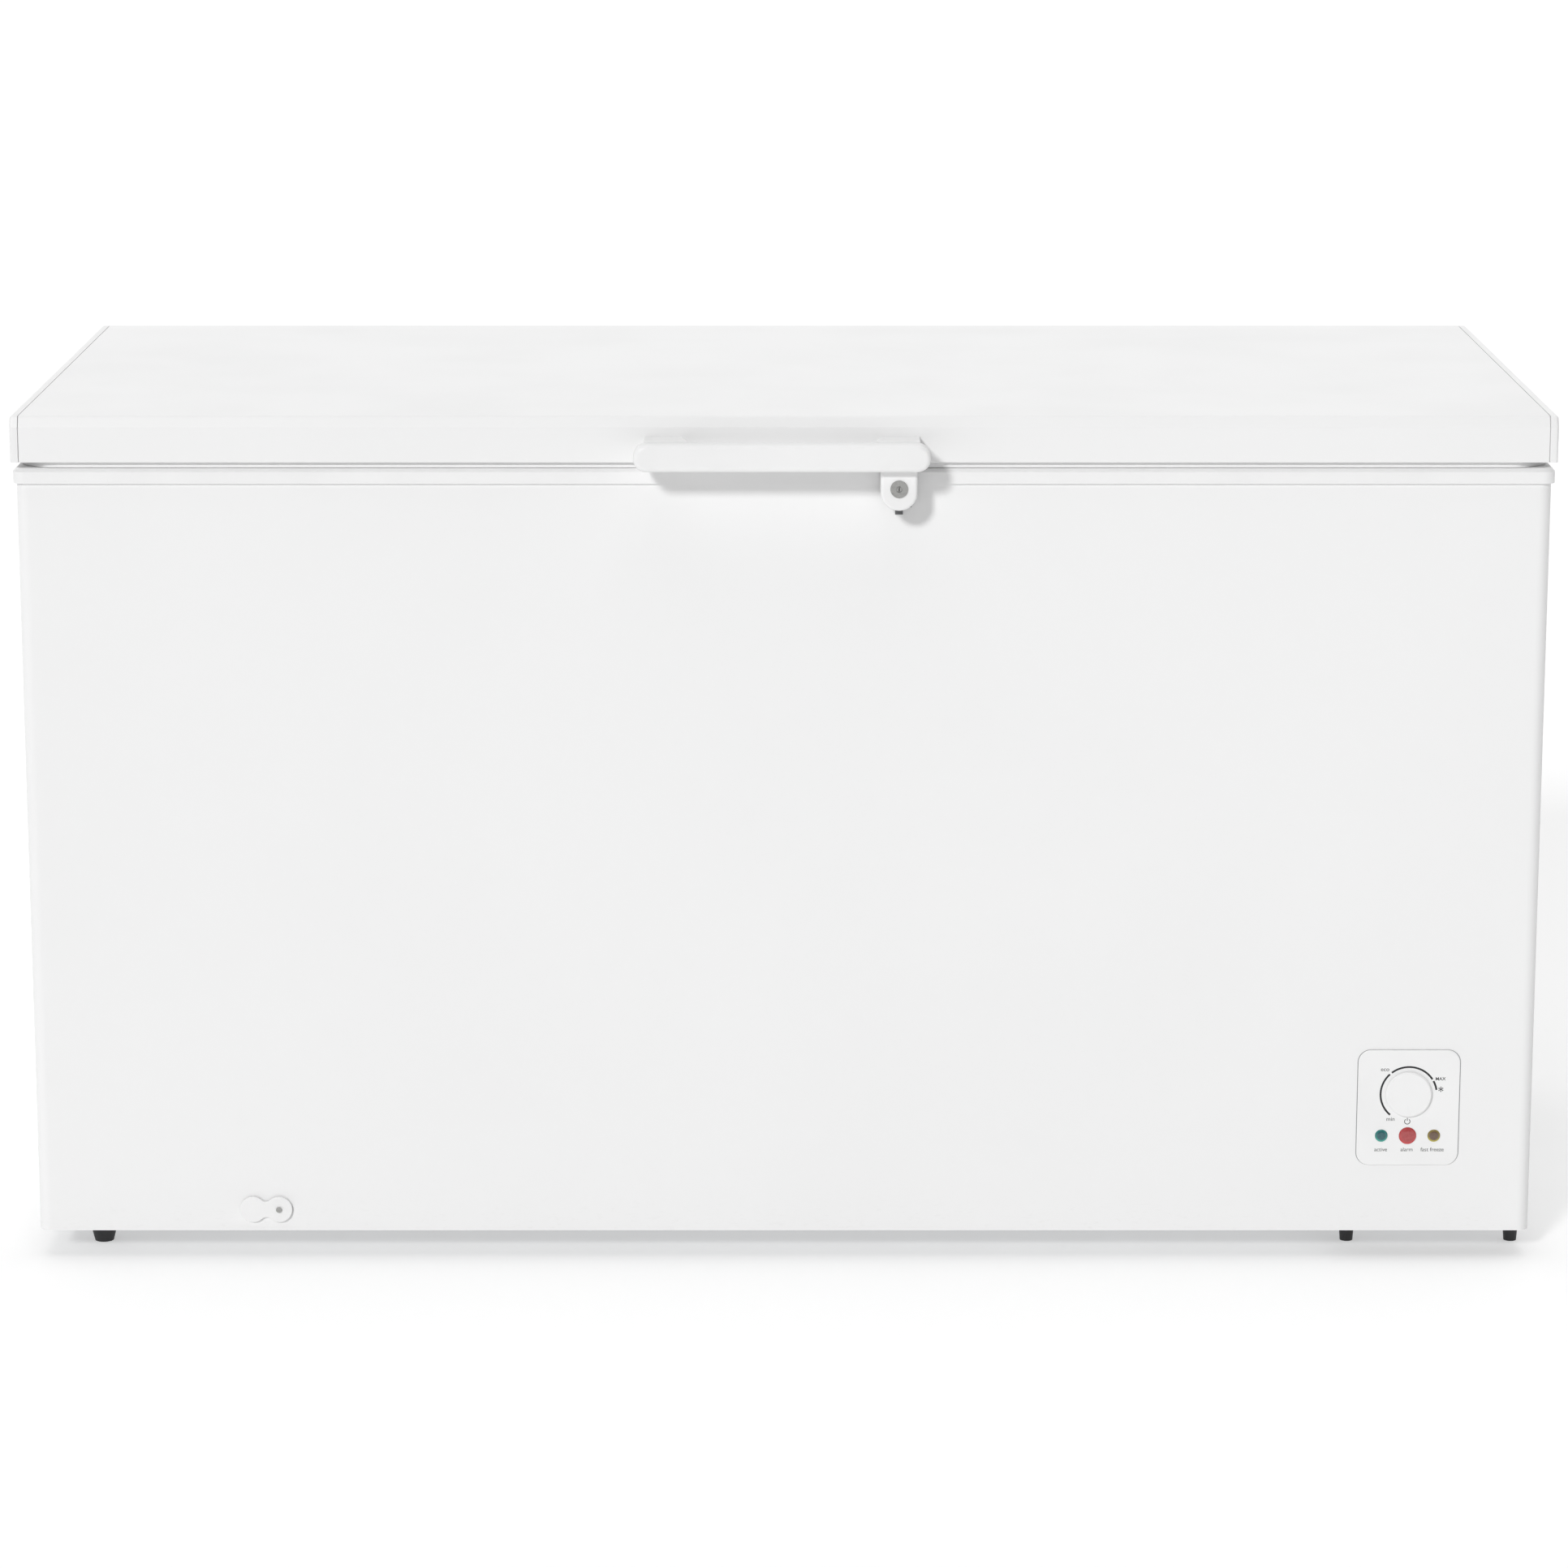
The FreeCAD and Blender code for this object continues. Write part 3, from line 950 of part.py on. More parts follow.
group("basket_long_sides", [long_side(BY0 + FRAME, BY0 + FRAME + INWARD),
                            long_side(BY1 - FRAME, BY1 - FRAME - INWARD)])
group("basket_short_sides", [short_side(BX0 + FRAME, BX0 + FRAME + INWARD),
                             short_side(BX1 - FRAME, BX1 - FRAME - INWARD)])
REST = RIM_Y0 + d.rim_ledge + 4, RIM_Y1 - d.rim_ledge - 4
HOOK_END = TOP_FRAME - FRAME + 0.03
group("basket_hooks",
      [wire("y", *run, x, WIRE_TOP, FRAME)
       for x in spread(4, BX0 + 40, BX1 - 40)
       for run in ((REST[0], BY0 - HOOK_END), (BY1 + HOOK_END, REST[1]))])

# ---------------------------------------------------------------- check and export

doc.recompute()
for obj in doc.Objects:
    assert not {"Invalid", "Error"} & set(obj.State), f"{obj.Label}: {obj.State}"
os.makedirs("parts", exist_ok=True)
whole = FreeCAD.BoundBox()
for name, obj in parts.items():
    shape = obj.Shape
    assert not shape.isNull() and shape.isValid() and shape.Volume > 0, f"{name}: bad shape"
    whole.add(shape.BoundBox)
    shape.exportStep(f"parts/{name}.step")
print(len(parts), "parts", whole)
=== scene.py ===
"""Looks of the chest freezer: materials, printed panel, seals, screws and other fine pieces."""

import json
import math

import bmesh
import bpy
from mathutils import Matrix, Vector


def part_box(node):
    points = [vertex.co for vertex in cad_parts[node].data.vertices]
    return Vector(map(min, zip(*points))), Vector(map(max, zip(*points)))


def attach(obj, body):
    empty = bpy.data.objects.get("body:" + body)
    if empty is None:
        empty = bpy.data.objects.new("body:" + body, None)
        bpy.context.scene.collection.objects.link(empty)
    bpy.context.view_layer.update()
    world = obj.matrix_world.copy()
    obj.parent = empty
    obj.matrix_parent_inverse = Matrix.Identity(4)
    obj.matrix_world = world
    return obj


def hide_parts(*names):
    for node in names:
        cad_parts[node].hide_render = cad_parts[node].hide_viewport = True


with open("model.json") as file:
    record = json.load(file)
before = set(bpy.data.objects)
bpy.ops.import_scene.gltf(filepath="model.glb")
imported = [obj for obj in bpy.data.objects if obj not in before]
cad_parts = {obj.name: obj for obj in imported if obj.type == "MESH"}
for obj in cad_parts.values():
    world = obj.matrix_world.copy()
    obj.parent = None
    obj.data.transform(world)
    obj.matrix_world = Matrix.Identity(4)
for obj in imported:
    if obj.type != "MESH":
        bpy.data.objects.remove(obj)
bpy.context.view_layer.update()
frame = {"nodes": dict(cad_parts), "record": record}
MM = 0.001

# ---------------------------------------------------------------- camera, light and floor

# Metres, degrees and millimetres of the lens; the sky's strengths towards the camera and away from it.

CAMERA_AWAY = 5.252
CAMERA_HEIGHT = 1.560
CAMERA_PITCH = 12.314
SENSOR_MM = 36.0
LENS_MM = 117.7
SKY_FRONT = 0.20
SKY_BACK = 1.20
SKY_TURN = -0.2

scene = bpy.context.scene
camera = bpy.data.objects.new("camera", bpy.data.cameras.new("camera"))
scene.collection.objects.link(camera)
scene.camera = camera
camera.data.sensor_width = SENSOR_MM
camera.data.lens = LENS_MM
camera.data.clip_end = 120.0
camera.location = (0.0, -CAMERA_AWAY, CAMERA_HEIGHT)
camera.rotation_euler = (math.radians(90.0 - CAMERA_PITCH), 0.0, 0.0)


def soft_sun(name, direction, energy, angle):
    """A sun lamp that shines from a direction, as wide as a softbox of that angle in degrees."""
    lamp = bpy.data.objects.new(name, bpy.data.lights.new(name, "SUN"))
    scene.collection.objects.link(lamp)
    lamp.data.energy = energy
    lamp.data.angle = math.radians(angle)
    lamp.rotation_euler = Vector(direction).to_track_quat("Z", "Y").to_euler()


soft_sun("key", (-0.44, -1.0, 0.55), 1.7, 8.0)
soft_sun("overhead", (0.0, -0.05, 1.0), 0.9, 50.0)

# The sky brightens from SKY_TURN in its Y direction towards the back, like a lit backdrop.

world = bpy.data.worlds.new("studio")
scene.world = world
world.use_nodes = True
background = world.node_tree.nodes["Background"]
background.inputs["Color"].default_value = (1.0, 1.0, 1.0, 1.0)
sky_direction = world.node_tree.nodes.new("ShaderNodeTexCoord").outputs["Generated"]
sky_axes = world.node_tree.nodes.new("ShaderNodeSeparateXYZ")
backdrop = world.node_tree.nodes.new("ShaderNodeMapRange")
backdrop.interpolation_type = "SMOOTHSTEP"
backdrop.inputs["From Min"].default_value = SKY_TURN
backdrop.inputs["To Min"].default_value = SKY_FRONT
backdrop.inputs["To Max"].default_value = SKY_BACK
world.node_tree.links.new(sky_direction, sky_axes.inputs["Vector"])
world.node_tree.links.new(sky_axes.outputs["Y"], backdrop.inputs["Value"])
world.node_tree.links.new(backdrop.outputs["Result"], background.inputs["Strength"])
scene.view_settings.view_transform = "Standard"


# ---------------------------------------------------------------- materials


def rgba(color):
    return (*color, 1.0)


class Finish:
    """A procedural material: layers of colour, roughness and relief in real-scale object coordinates."""

    def __init__(self, name, color, rough, metal=0.0, specular=0.5, coat=0.0, coat_rough=0.1):
        self.material = bpy.data.materials.new(name)
        self.material.use_nodes = True
        self.tree = self.material.node_tree
        self.shader = self.tree.nodes["Principled BSDF"]
        self.shader.inputs["Metallic"].default_value = metal
        self.shader.inputs["Roughness"].default_value = rough
        self.shader.inputs["Specular IOR Level"].default_value = specular
        self.shader.inputs["Coat Weight"].default_value = coat
        self.shader.inputs["Coat Roughness"].default_value = coat_rough
        self.shader.inputs["Base Color"].default_value = rgba(color)
        self.coordinates = self.tree.nodes.new("ShaderNodeTexCoord").outputs["Object"]
        self.color = None
        self.base = color
        self.rough = rough
        self.rough_link = None
        self.normal = None

    def node(self, kind, **settings):
        """A shader node; each setting is one of its own properties or else the value of an input."""
        made = self.tree.nodes.new("ShaderNode" + kind)
        for key, value in settings.items():
            if hasattr(made, key):
                setattr(made, key, value)
            else:
                made.inputs[key].default_value = value
        return made

    def link(self, out, into):
        self.tree.links.new(out, into)

    def noise(self, per_metre, detail=3.0, stretch=(1, 1, 1), rough=0.55):
        """A noise with grains about 1/per_metre wide, drawn out along an axis where stretch is under 1."""
        mapping = self.node("Mapping")
        mapping.inputs["Scale"].default_value = stretch
        self.link(self.coordinates, mapping.inputs["Vector"])
        made = self.node("TexNoise", Scale=per_metre, Detail=detail, Roughness=rough)
        self.link(mapping.outputs["Vector"], made.inputs["Vector"])
        return made.outputs["Fac"]

    def cells(self, per_metre, feature="F1", output="Distance"):
        """Irregular cells, each about 1/per_metre wide."""
        made = self.node("TexVoronoi", Scale=per_metre, feature=feature)
        self.link(self.coordinates, made.inputs["Vector"])
        return made.outputs[output]

    def ramp(self, source, low, high, flip=False):
        """Source between low and high, spread over 0 to 1."""
        made = self.node("MapRange", clamp=True, interpolation_type="SMOOTHSTEP")
        self.link(source, made.inputs["Value"])
        made.inputs["From Min"].default_value = low
        made.inputs["From Max"].default_value = high
        made.inputs["To Min"].default_value = 1.0 if flip else 0.0
        made.inputs["To Max"].default_value = 0.0 if flip else 1.0
        return made.outputs["Result"]

    def times(self, a, b):
        made = self.node("Math", operation="MULTIPLY")
        self.link(a, made.inputs[0])
        if isinstance(b, (int, float)):
            made.inputs[1].default_value = b
        else:
            self.link(b, made.inputs[1])
        return made.outputs["Value"]

    def below(self, low, high):
        """A mask that is full under the lower height and gone above the higher one, in metres."""
        split = self.node("SeparateXYZ")
        self.link(self.coordinates, split.inputs["Vector"])
        return self.ramp(split.outputs["Z"], low, high, flip=True)

    def from_axis(self, x, z, low, high):
        """A mask that rises with the distance from a line along Y through (x, z), in metres."""
        away = self.node("VectorMath", operation="SUBTRACT")
        self.link(self.coordinates, away.inputs[0])
        away.inputs[1].default_value = (x, 0.0, z)
        flat = self.node("VectorMath", operation="MULTIPLY")
        self.link(away.outputs["Vector"], flat.inputs[0])
        flat.inputs[1].default_value = (1.0, 0.0, 1.0)
        length = self.node("VectorMath", operation="LENGTH")
        self.link(flat.outputs["Vector"], length.inputs[0])
        return self.ramp(length.outputs["Value"], low, high)

    def facing_up(self, low=0.6, high=0.98):
        """A mask of the faces that look up."""
        geometry = self.node("NewGeometry")
        split = self.node("SeparateXYZ")
        self.link(geometry.outputs["Normal"], split.inputs["Vector"])
        return self.ramp(split.outputs["Z"], low, high)

    def tint(self, mask, color, amount):
        """Lays a colour over what is there, through a mask."""
        mix = self.node("Mix", data_type="RGBA")
        self.link(self.times(mask, amount), mix.inputs["Factor"])
        under, over = [socket for socket in mix.inputs if socket.type == "RGBA"]
        if self.color is None:
            under.default_value = rgba(self.base)
        else:
            self.link(self.color, under)
        over.default_value = rgba(color)
        self.color = [socket for socket in mix.outputs if socket.type == "RGBA"][0]
        self.link(self.color, self.shader.inputs["Base Color"])
        return self

    def matt(self, mask, rough):
        """Moves the roughness towards a value, through a mask."""
        mix = self.node("Mix", data_type="FLOAT")
        self.link(mask, mix.inputs["Factor"])
        if self.rough_link is None:
            mix.inputs[2].default_value = self.rough
        else:
            self.link(self.rough_link, mix.inputs[2])
        mix.inputs[3].default_value = rough
        self.rough_link = mix.outputs[0]
        self.link(self.rough_link, self.shader.inputs["Roughness"])
        return self

    def relief(self, source, depth, strength, invert=False):
        """Adds a bump of that depth in metres."""
        made = self.node("Bump", Strength=strength, Distance=depth)
        made.invert = invert
        self.link(source, made.inputs["Height"])
        if self.normal is not None:
            self.link(self.normal, made.inputs["Normal"])
        self.normal = made.outputs["Normal"]
        self.link(self.normal, self.shader.inputs["Normal"])
        return self


LAMP_FLANGE = 1.5 * MM
WHITE = (0.81, 0.81, 0.81)


def enamel(name, color, rough=0.34, peel=2.2e-5):
    """Coil-coated steel: slight orange peel, a faint handling haze and scuffs near the floor."""
    f = Finish(name, color, rough, specular=0.25, coat=0.06, coat_rough=0.12)
    f.tint(f.ramp(f.noise(2.2, 3), 0.35, 0.75), [c * 0.985 for c in color], 1.0)
    scuffs = f.times(f.below(0.028, 0.075), f.ramp(f.noise(120, 5, (1, 1, 3)), 0.56, 0.74))
    f.tint(scuffs, (0.52, 0.51, 0.49), 0.10)
    f.matt(f.ramp(f.noise(9, 4), 0.35, 0.75), rough + 0.06)
    f.relief(f.noise(420, 2), peel, 0.55)
    f.relief(f.noise(5, 2), 3.0e-4, 0.10)
    return f.material


def moulded(name, color, rough=0.40, grain=1.6e-5, per_metre=2600, dust=0.0):
    """Injection moulded plastic: fine spark grain, faint flow marks and slightly duller patches."""
    f = Finish(name, color, rough, specular=0.5)
    f.tint(f.ramp(f.noise(14, 3), 0.3, 0.8), [c * 0.965 for c in color], 1.0)
    if dust:
        settled = f.times(f.facing_up(), f.ramp(f.noise(90, 4), 0.4, 0.8))
        f.tint(settled, (0.42, 0.40, 0.37), dust)
    f.matt(f.ramp(f.noise(30, 3), 0.35, 0.75), rough + 0.08)
    f.relief(f.noise(per_metre, 2), grain, 0.6)
    f.relief(f.noise(60, 2), 4.0e-5, 0.25)
    return f.material


def sheet_metal(name, color, rough=0.36, spangle=70):
    """Zinc coated sheet: spangle, rolling marks and a dull bloom."""
    f = Finish(name, color, rough, metal=1.0)
    f.tint(f.ramp(f.cells(spangle, output="Color"), 0.25, 0.8), [c * 0.80 for c in color], 0.7)
    f.tint(f.ramp(f.noise(35, 5), 0.52, 0.75), [min(1.0, c * 1.12) for c in color], 0.6)
    f.matt(f.ramp(f.noise(120, 4), 0.3, 0.7), rough + 0.16)
    f.relief(f.noise(900, 2, (0.08, 1, 1)), 8.0e-6, 0.5)
    return f.material


def stucco(name, color):
    """Embossed aluminium sheet: small rounded hammer marks."""
    f = Finish(name, color, 0.30, metal=0.85)
    f.tint(f.ramp(f.noise(4, 3), 0.3, 0.7), [c * 0.94 for c in color], 0.8)
    f.tint(f.ramp(f.noise(60, 5), 0.6, 0.8), (0.70, 0.72, 0.73), 0.5)
    f.matt(f.ramp(f.noise(160, 3), 0.3, 0.7), 0.42)
    f.relief(f.cells(210, feature="SMOOTH_F1"), 3.5e-4, 0.55, invert=True)
    return f.material


def rubber(name, color, rough=0.62, grain=3.0e-5, bloom=(0.55, 0.55, 0.54)):
    """Soft moulded rubber with a faint chalky bloom."""
    f = Finish(name, color, rough, specular=0.35)
    f.tint(f.ramp(f.noise(45, 4), 0.45, 0.8), bloom, 0.10)
    f.matt(f.ramp(f.noise(80, 3), 0.3, 0.7), rough + 0.14)
    f.relief(f.noise(1700, 3), grain, 0.6)
    return f.material


def foam(name, color):
    """Cut polyurethane foam: open cells, a browner skin and painted shade in the cell pits."""
    f = Finish(name, color, 0.85, specular=0.2)
    f.tint(f.ramp(f.noise(11, 4), 0.35, 0.7), [c * 0.86 for c in color], 0.8)
    # Painted shade: the middles of small cells are darkened, as the shade inside the foam's pits.
    f.tint(f.ramp(f.cells(900), 0.0, 0.35, flip=True), [c * 0.62 for c in color], 0.6)
    f.relief(f.cells(700), 4.0e-4, 0.8)
    f.relief(f.noise(160, 4), 6.0e-4, 0.5)
    return f.material


def tubing(name, color):
    """Drawn copper: bright, with browner and duller patches."""
    f = Finish(name, color, 0.26, metal=1.0)
    f.tint(f.ramp(f.noise(28, 4), 0.40, 0.70), (0.36, 0.17, 0.10), 0.75)
    f.matt(f.ramp(f.noise(70, 4), 0.35, 0.7), 0.48)
    f.relief(f.noise(1300, 2, (1, 0.2, 1)), 8.0e-6, 0.4)
    return f.material


def enamelled_black(name):
    """Thick black compressor enamel: slightly uneven, dusty on its dome, with a little rust bloom."""
    f = Finish(name, (0.012, 0.012, 0.013), 0.28, specular=0.5, coat=0.2, coat_rough=0.2)
    f.tint(f.ramp(f.noise(60, 5), 0.62, 0.78), (0.10, 0.055, 0.035), 0.25)
    dust = f.times(f.facing_up(0.3, 0.95), f.ramp(f.noise(120, 5), 0.30, 0.75))
    f.tint(dust, (0.26, 0.25, 0.235), 0.45)
    f.matt(f.ramp(f.noise(40, 4), 0.3, 0.7), 0.44)
    f.relief(f.noise(260, 2), 6.0e-5, 0.6)
    return f.material


def lens(name, node, color, rim, rough=0.16):
    """A tinted pilot lens: dark in the middle, a paler tone round its rim, painted light along its lower
    rim, and a fine prism pattern.
    """
    low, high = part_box(node)
    radius = (high[0] - low[0]) / 2 - LAMP_FLANGE
    f = Finish(name, color, rough, specular=0.6, coat=0.35, coat_rough=0.06)
    f.tint(f.ramp(f.noise(500, 2), 0.35, 0.7), [min(1.0, c * 1.2 + 0.01) for c in color], 0.7)
    middle = ((low[0] + high[0]) / 2, (low[2] + high[2]) / 2)
    edge = f.from_axis(*middle, radius * 0.60, radius * 0.95)
    # A paler tone all round the rim.
    f.tint(edge, rim, 0.30)
    # Painted light: the lower part of the rim takes the full rim colour, a painted highlight where light
    # gathers in the lens.
    f.tint(f.times(edge, f.below(middle[1] - radius, middle[1] + radius * 0.3)), rim, 1.0)
    f.matt(f.ramp(f.noise(900, 2), 0.4, 0.7), rough + 0.10)
    f.relief(f.cells(1500), 6.0e-5, 0.5)
    return f.material


def printed(name, color, rough=0.5):
    """Pad-printed ink: a dense film with tiny paler pinholes."""
    f = Finish(name, color, rough, specular=0.4)
    f.tint(f.ramp(f.noise(2600, 3), 0.60, 0.80), [min(1.0, c + 0.06) for c in color], 0.5)
    f.matt(f.ramp(f.noise(900, 2), 0.3, 0.7), rough + 0.12)
    f.relief(f.noise(4200, 2), 4.0e-6, 0.6)
    return f.material


def machined(name, color, rough=0.24):
    """Turned or plated metal: fine tool marks and light tarnish."""
    f = Finish(name, color, rough, metal=1.0)
    f.tint(f.ramp(f.noise(240, 4), 0.50, 0.75), [c * 0.72 for c in color], 0.6)
    f.matt(f.ramp(f.noise(500, 3), 0.3, 0.7), rough + 0.18)
    f.relief(f.noise(3600, 2, (1, 0.1, 1)), 5.0e-6, 0.5)
    return f.material


LOOKS = {
    "white_steel": enamel("white_enamel", WHITE),
    "rear_steel": enamel("grey_back_sheet", (0.52, 0.53, 0.54), 0.42),
    "zinc_steel": sheet_metal("zinc_sheet", (0.60, 0.615, 0.63)),
    "white_plastic": moulded("white_moulding", WHITE, 0.36),
    "stucco_aluminium": stucco("stucco_liner", (0.86, 0.88, 0.90)),
    "foam": foam("cut_foam", (0.72, 0.58, 0.34)),
    "white_rubber": rubber("seal_rubber", (0.80, 0.80, 0.80), bloom=(0.72, 0.72, 0.71)),
    "black_rubber": rubber("black_rubber", (0.022, 0.022, 0.024)),
    "black_plastic": moulded("black_moulding", (0.020, 0.020, 0.022), 0.50, 3.0e-5, 1800, dust=0.22),
    "black_enamel": enamelled_black("compressor_enamel"),
    "copper": tubing("drawn_copper", (0.83, 0.46, 0.30)),
    "grey_paint": enamel("dark_grey_coat", (0.135, 0.137, 0.140), 0.45),
    "bright_metal": machined("satin_nickel", (0.38, 0.38, 0.37)),
    "white_wire": enamel("dip_coated_wire", (0.74, 0.745, 0.75), 0.30),
    "green_lens": lens("green_lens", "lamp_active", (0.010, 0.085, 0.095), (0.05, 0.42, 0.33)),
    "red_lens": lens("red_lens", "lamp_alarm", (0.34, 0.045, 0.048), (0.52, 0.042, 0.045)),
    "amber_lens": lens("amber_lens", "lamp_fast_freeze", (0.112, 0.066, 0.042), (0.50, 0.43, 0.045)),
    "circuit_board": moulded("circuit_laminate", (0.03, 0.16, 0.07), 0.35),
    "clear_hose": moulded("hose_plastic", (0.62, 0.65, 0.63), 0.45),
}
INK = printed("black_ink", (0.018, 0.018, 0.020))
# A dark grey look for the painted shadow line round the control bezel.
PAINTED_SHADOW_LINE = rubber("painted_shadow_line", (0.30, 0.30, 0.31))

for row in frame["record"]["subparts"]:
    node = frame["nodes"][row["node"]]
    node.data.materials.clear()
    node.data.materials.append(LOOKS[row["material_slot"]])

# ---------------------------------------------------------------- mesh helpers


def piece(name, verts, faces, look, body, smooth=True):
    """A mesh in the row frame that rides on a CAD body."""
    mesh = bpy.data.meshes.new(name)
    mesh.from_pydata([tuple(v) for v in verts], [], faces)
    mesh.validate()
    bm = bmesh.new()
    bm.from_mesh(mesh)
    bmesh.ops.recalc_face_normals(bm, faces=bm.faces)
    bm.to_mesh(mesh)
    bm.free()
    obj = bpy.data.objects.new(name, mesh)
    scene.collection.objects.link(obj)
    mesh.materials.append(look)
    if smooth:
        mesh.shade_smooth()
        mesh.set_sharp_from_angle(angle=math.radians(35))
    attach(obj, body)
    return obj


def bevel(obj, width, segments=2, angle=30):
    """Rounds every sharp edge of a piece."""
    modifier = obj.modifiers.new("bevel", "BEVEL")
    modifier.width = width
    modifier.segments = segments
    modifier.limit_method = "ANGLE"
    modifier.angle_limit = math.radians(angle)
    modifier.harden_normals = False
    return obj


def frame_for(axis):
    """A rotation that takes +Z to the axis."""
    return Vector(axis).normalized().to_track_quat("Z", "Y").to_matrix()


def lathe_mesh(profile, at, axis, steps):
    """Vertices and faces of a profile of (radius, height) turned about an axis through a point."""
    turn = frame_for(axis)
    verts, faces = [], []
    for i in range(steps):
        a = 2 * math.pi * i / steps
        for radius, height in profile:
            verts.append(Vector(at) + turn @ Vector((radius * math.cos(a), radius * math.sin(a), height)))
    n = len(profile)
    for i in range(steps):
        j = (i + 1) % steps
        for k in range(n - 1):
            faces.append((i * n + k, j * n + k, j * n + k + 1, i * n + k + 1))
    faces.append(tuple(i * n for i in reversed(range(steps))))
    faces.append(tuple(i * n + n - 1 for i in range(steps)))
    return verts, faces


def turned_ring(name, profile, at, axis, look, body, steps=48):
    """A closed profile of (radius, height) turned about an axis through a point."""
    turn = frame_for(axis)
    verts, faces = [], []
    m = len(profile)
    for i in range(steps):
        a = 2 * math.pi * i / steps
        verts += [Vector(at) + turn @ Vector((r * math.cos(a), r * math.sin(a), h)) for r, h in profile]
        j = (i + 1) % steps
        faces += [(i * m + k, j * m + k, j * m + (k + 1) % m, i * m + (k + 1) % m) for k in range(m)]
    return piece(name, verts, faces, look, body)


def gather(name, parts, look, body, smooth=True):
    """One piece from several (verts, faces) lists."""
    verts, faces = [], []
    for part_verts, part_faces in parts:
        base = len(verts)
        verts += part_verts
        faces += [tuple(base + i for i in face) for face in part_faces]
    return piece(name, verts, faces, look, body, smooth)


def block_mesh(low, high):
    """Vertices and faces of a box between two corners."""
    (x0, y0, z0), (x1, y1, z1) = low, high
    verts = [Vector(v) for v in ((x0, y0, z0), (x1, y0, z0), (x1, y1, z0), (x0, y1, z0),
                                 (x0, y0, z1), (x1, y0, z1), (x1, y1, z1), (x0, y1, z1))]
    faces = [(3, 2, 1, 0), (4, 5, 6, 7), (0, 1, 5, 4), (1, 2, 6, 5), (2, 3, 7, 6), (3, 0, 4, 7)]
    return verts, faces


def prism_mesh(outline, place, thickness):
    """A flat outline of (u, v) points, mapped by place(u, v, depth), given a thickness."""
    n = len(outline)
    verts = []
    for depth in (0.0, thickness):
        verts += [Vector(place(u, v, depth)) for u, v in outline]
    faces = [tuple(reversed(range(n))), tuple(range(n, 2 * n))]
    faces += [(i, (i + 1) % n, n + (i + 1) % n, n + i) for i in range(n)]
    return verts, faces


def strip_mesh(inner, outer, place, thickness):
    """A flat band between two rows of (u, v) points, mapped by place(u, v, depth)."""
    verts = []
    n = len(inner)
    for depth in (0.0, thickness):
        for row in (inner, outer):
            verts += [Vector(place(u, v, depth)) for u, v in row]
    faces = []
    for i in range(n - 1):
        a, b, c, e = i, i + 1, n + i + 1, n + i
        faces += [(a, b, c, e), (2 * n + e, 2 * n + c, 2 * n + b, 2 * n + a), (a, 2 * n + a, 2 * n + b, b),
                  (e, c, 2 * n + c, 2 * n + e)]
    faces += [(0, n, 3 * n, 2 * n), (n - 1, 3 * n - 1, 4 * n - 1, 2 * n - 1)]
    return verts, faces


def round_rectangle(x0, y0, x1, y1, radius, steps=10):
    """Points of a rectangle with round corners, counter-clockwise, each with its outward direction."""
    points = []
    for cx, cy, start in ((x1 - radius, y1 - radius, 0), (x0 + radius, y1 - radius, 90),
                          (x0 + radius, y0 + radius, 180), (x1 - radius, y0 + radius, 270)):
        for i in range(steps + 1):
            a = math.radians(start + 90 * i / steps)
            points.append((cx + radius * math.cos(a), cy + radius * math.sin(a), math.cos(a), math.sin(a)))
    return points


def ring_sweep(name, path, profile, look, body):
    """A closed profile of (outward, z) points swept round a closed path of round_rectangle points."""
    verts, faces = [], []
    n, m = len(path), len(profile)
    for x, y, nx, ny in path:
        verts += [Vector((x + nx * out, y + ny * out, z)) for out, z in profile]
    for i in range(n):
        j = (i + 1) % n
        faces += [(i * m + k, j * m + k, j * m + (k + 1) % m, i * m + (k + 1) % m) for k in range(m)]
    return piece(name, verts, faces, look, body)


# Screw heads: one pan head with a cross recess, cut once and copied. Its sizes are shares of its radius.

HEAD_PROFILE = [(0.0001, -0.12), (0.96, -0.12), (1.0, 0.0), (0.99, 0.20),
                (0.90, 0.38), (0.70, 0.50), (0.40, 0.57), (0.0001, 0.59)]
CROSS_REACH = 0.56
CROSS_HALF_WIDTH = 0.11
CROSS_FLOOR = 0.22
CROSS_TOP = 0.8


def fill(bm, verts, faces):
    """Adds vertices and the faces between them to a bmesh."""
    made = [bm.verts.new(v) for v in verts]
    for face in faces:
        bm.faces.new([made[i] for i in face])


def cut_screw():
    """The mesh of a unit pan head, radius 1, that stands on z = 0, with a cross recess."""
    head, cross = bmesh.new(), bmesh.new()
    fill(head, *lathe_mesh(HEAD_PROFILE, (0, 0, 0), (0, 0, 1), 36))
    bmesh.ops.remove_doubles(head, verts=head.verts, dist=1e-3)
    bmesh.ops.recalc_face_normals(head, faces=head.faces)
    for x, y in ((CROSS_HALF_WIDTH, CROSS_REACH), (CROSS_REACH, CROSS_HALF_WIDTH)):
        fill(cross, *block_mesh((-x, -y, CROSS_FLOOR), (x, y, CROSS_TOP)))
    objects = []
    for bm, label in ((head, "head"), (cross, "cross")):
        mesh = bpy.data.meshes.new(label)
        bm.to_mesh(mesh)
        bm.free()
        objects.append(bpy.data.objects.new(label, mesh))
        scene.collection.objects.link(objects[-1])
    modifier = objects[0].modifiers.new("cut", "BOOLEAN")
    modifier.operation = "DIFFERENCE"
    modifier.solver = "EXACT"
    modifier.use_self = True
    modifier.object = objects[1]
    bpy.context.view_layer.update()
    done = bpy.data.meshes.new_from_object(objects[0].evaluated_get(bpy.context.evaluated_depsgraph_get()))
    shape = ([v.co.copy() for v in done.vertices], [tuple(p.vertices) for p in done.polygons])
    for obj in objects:
        bpy.data.objects.remove(obj)
    return shape


SCREW = cut_screw()


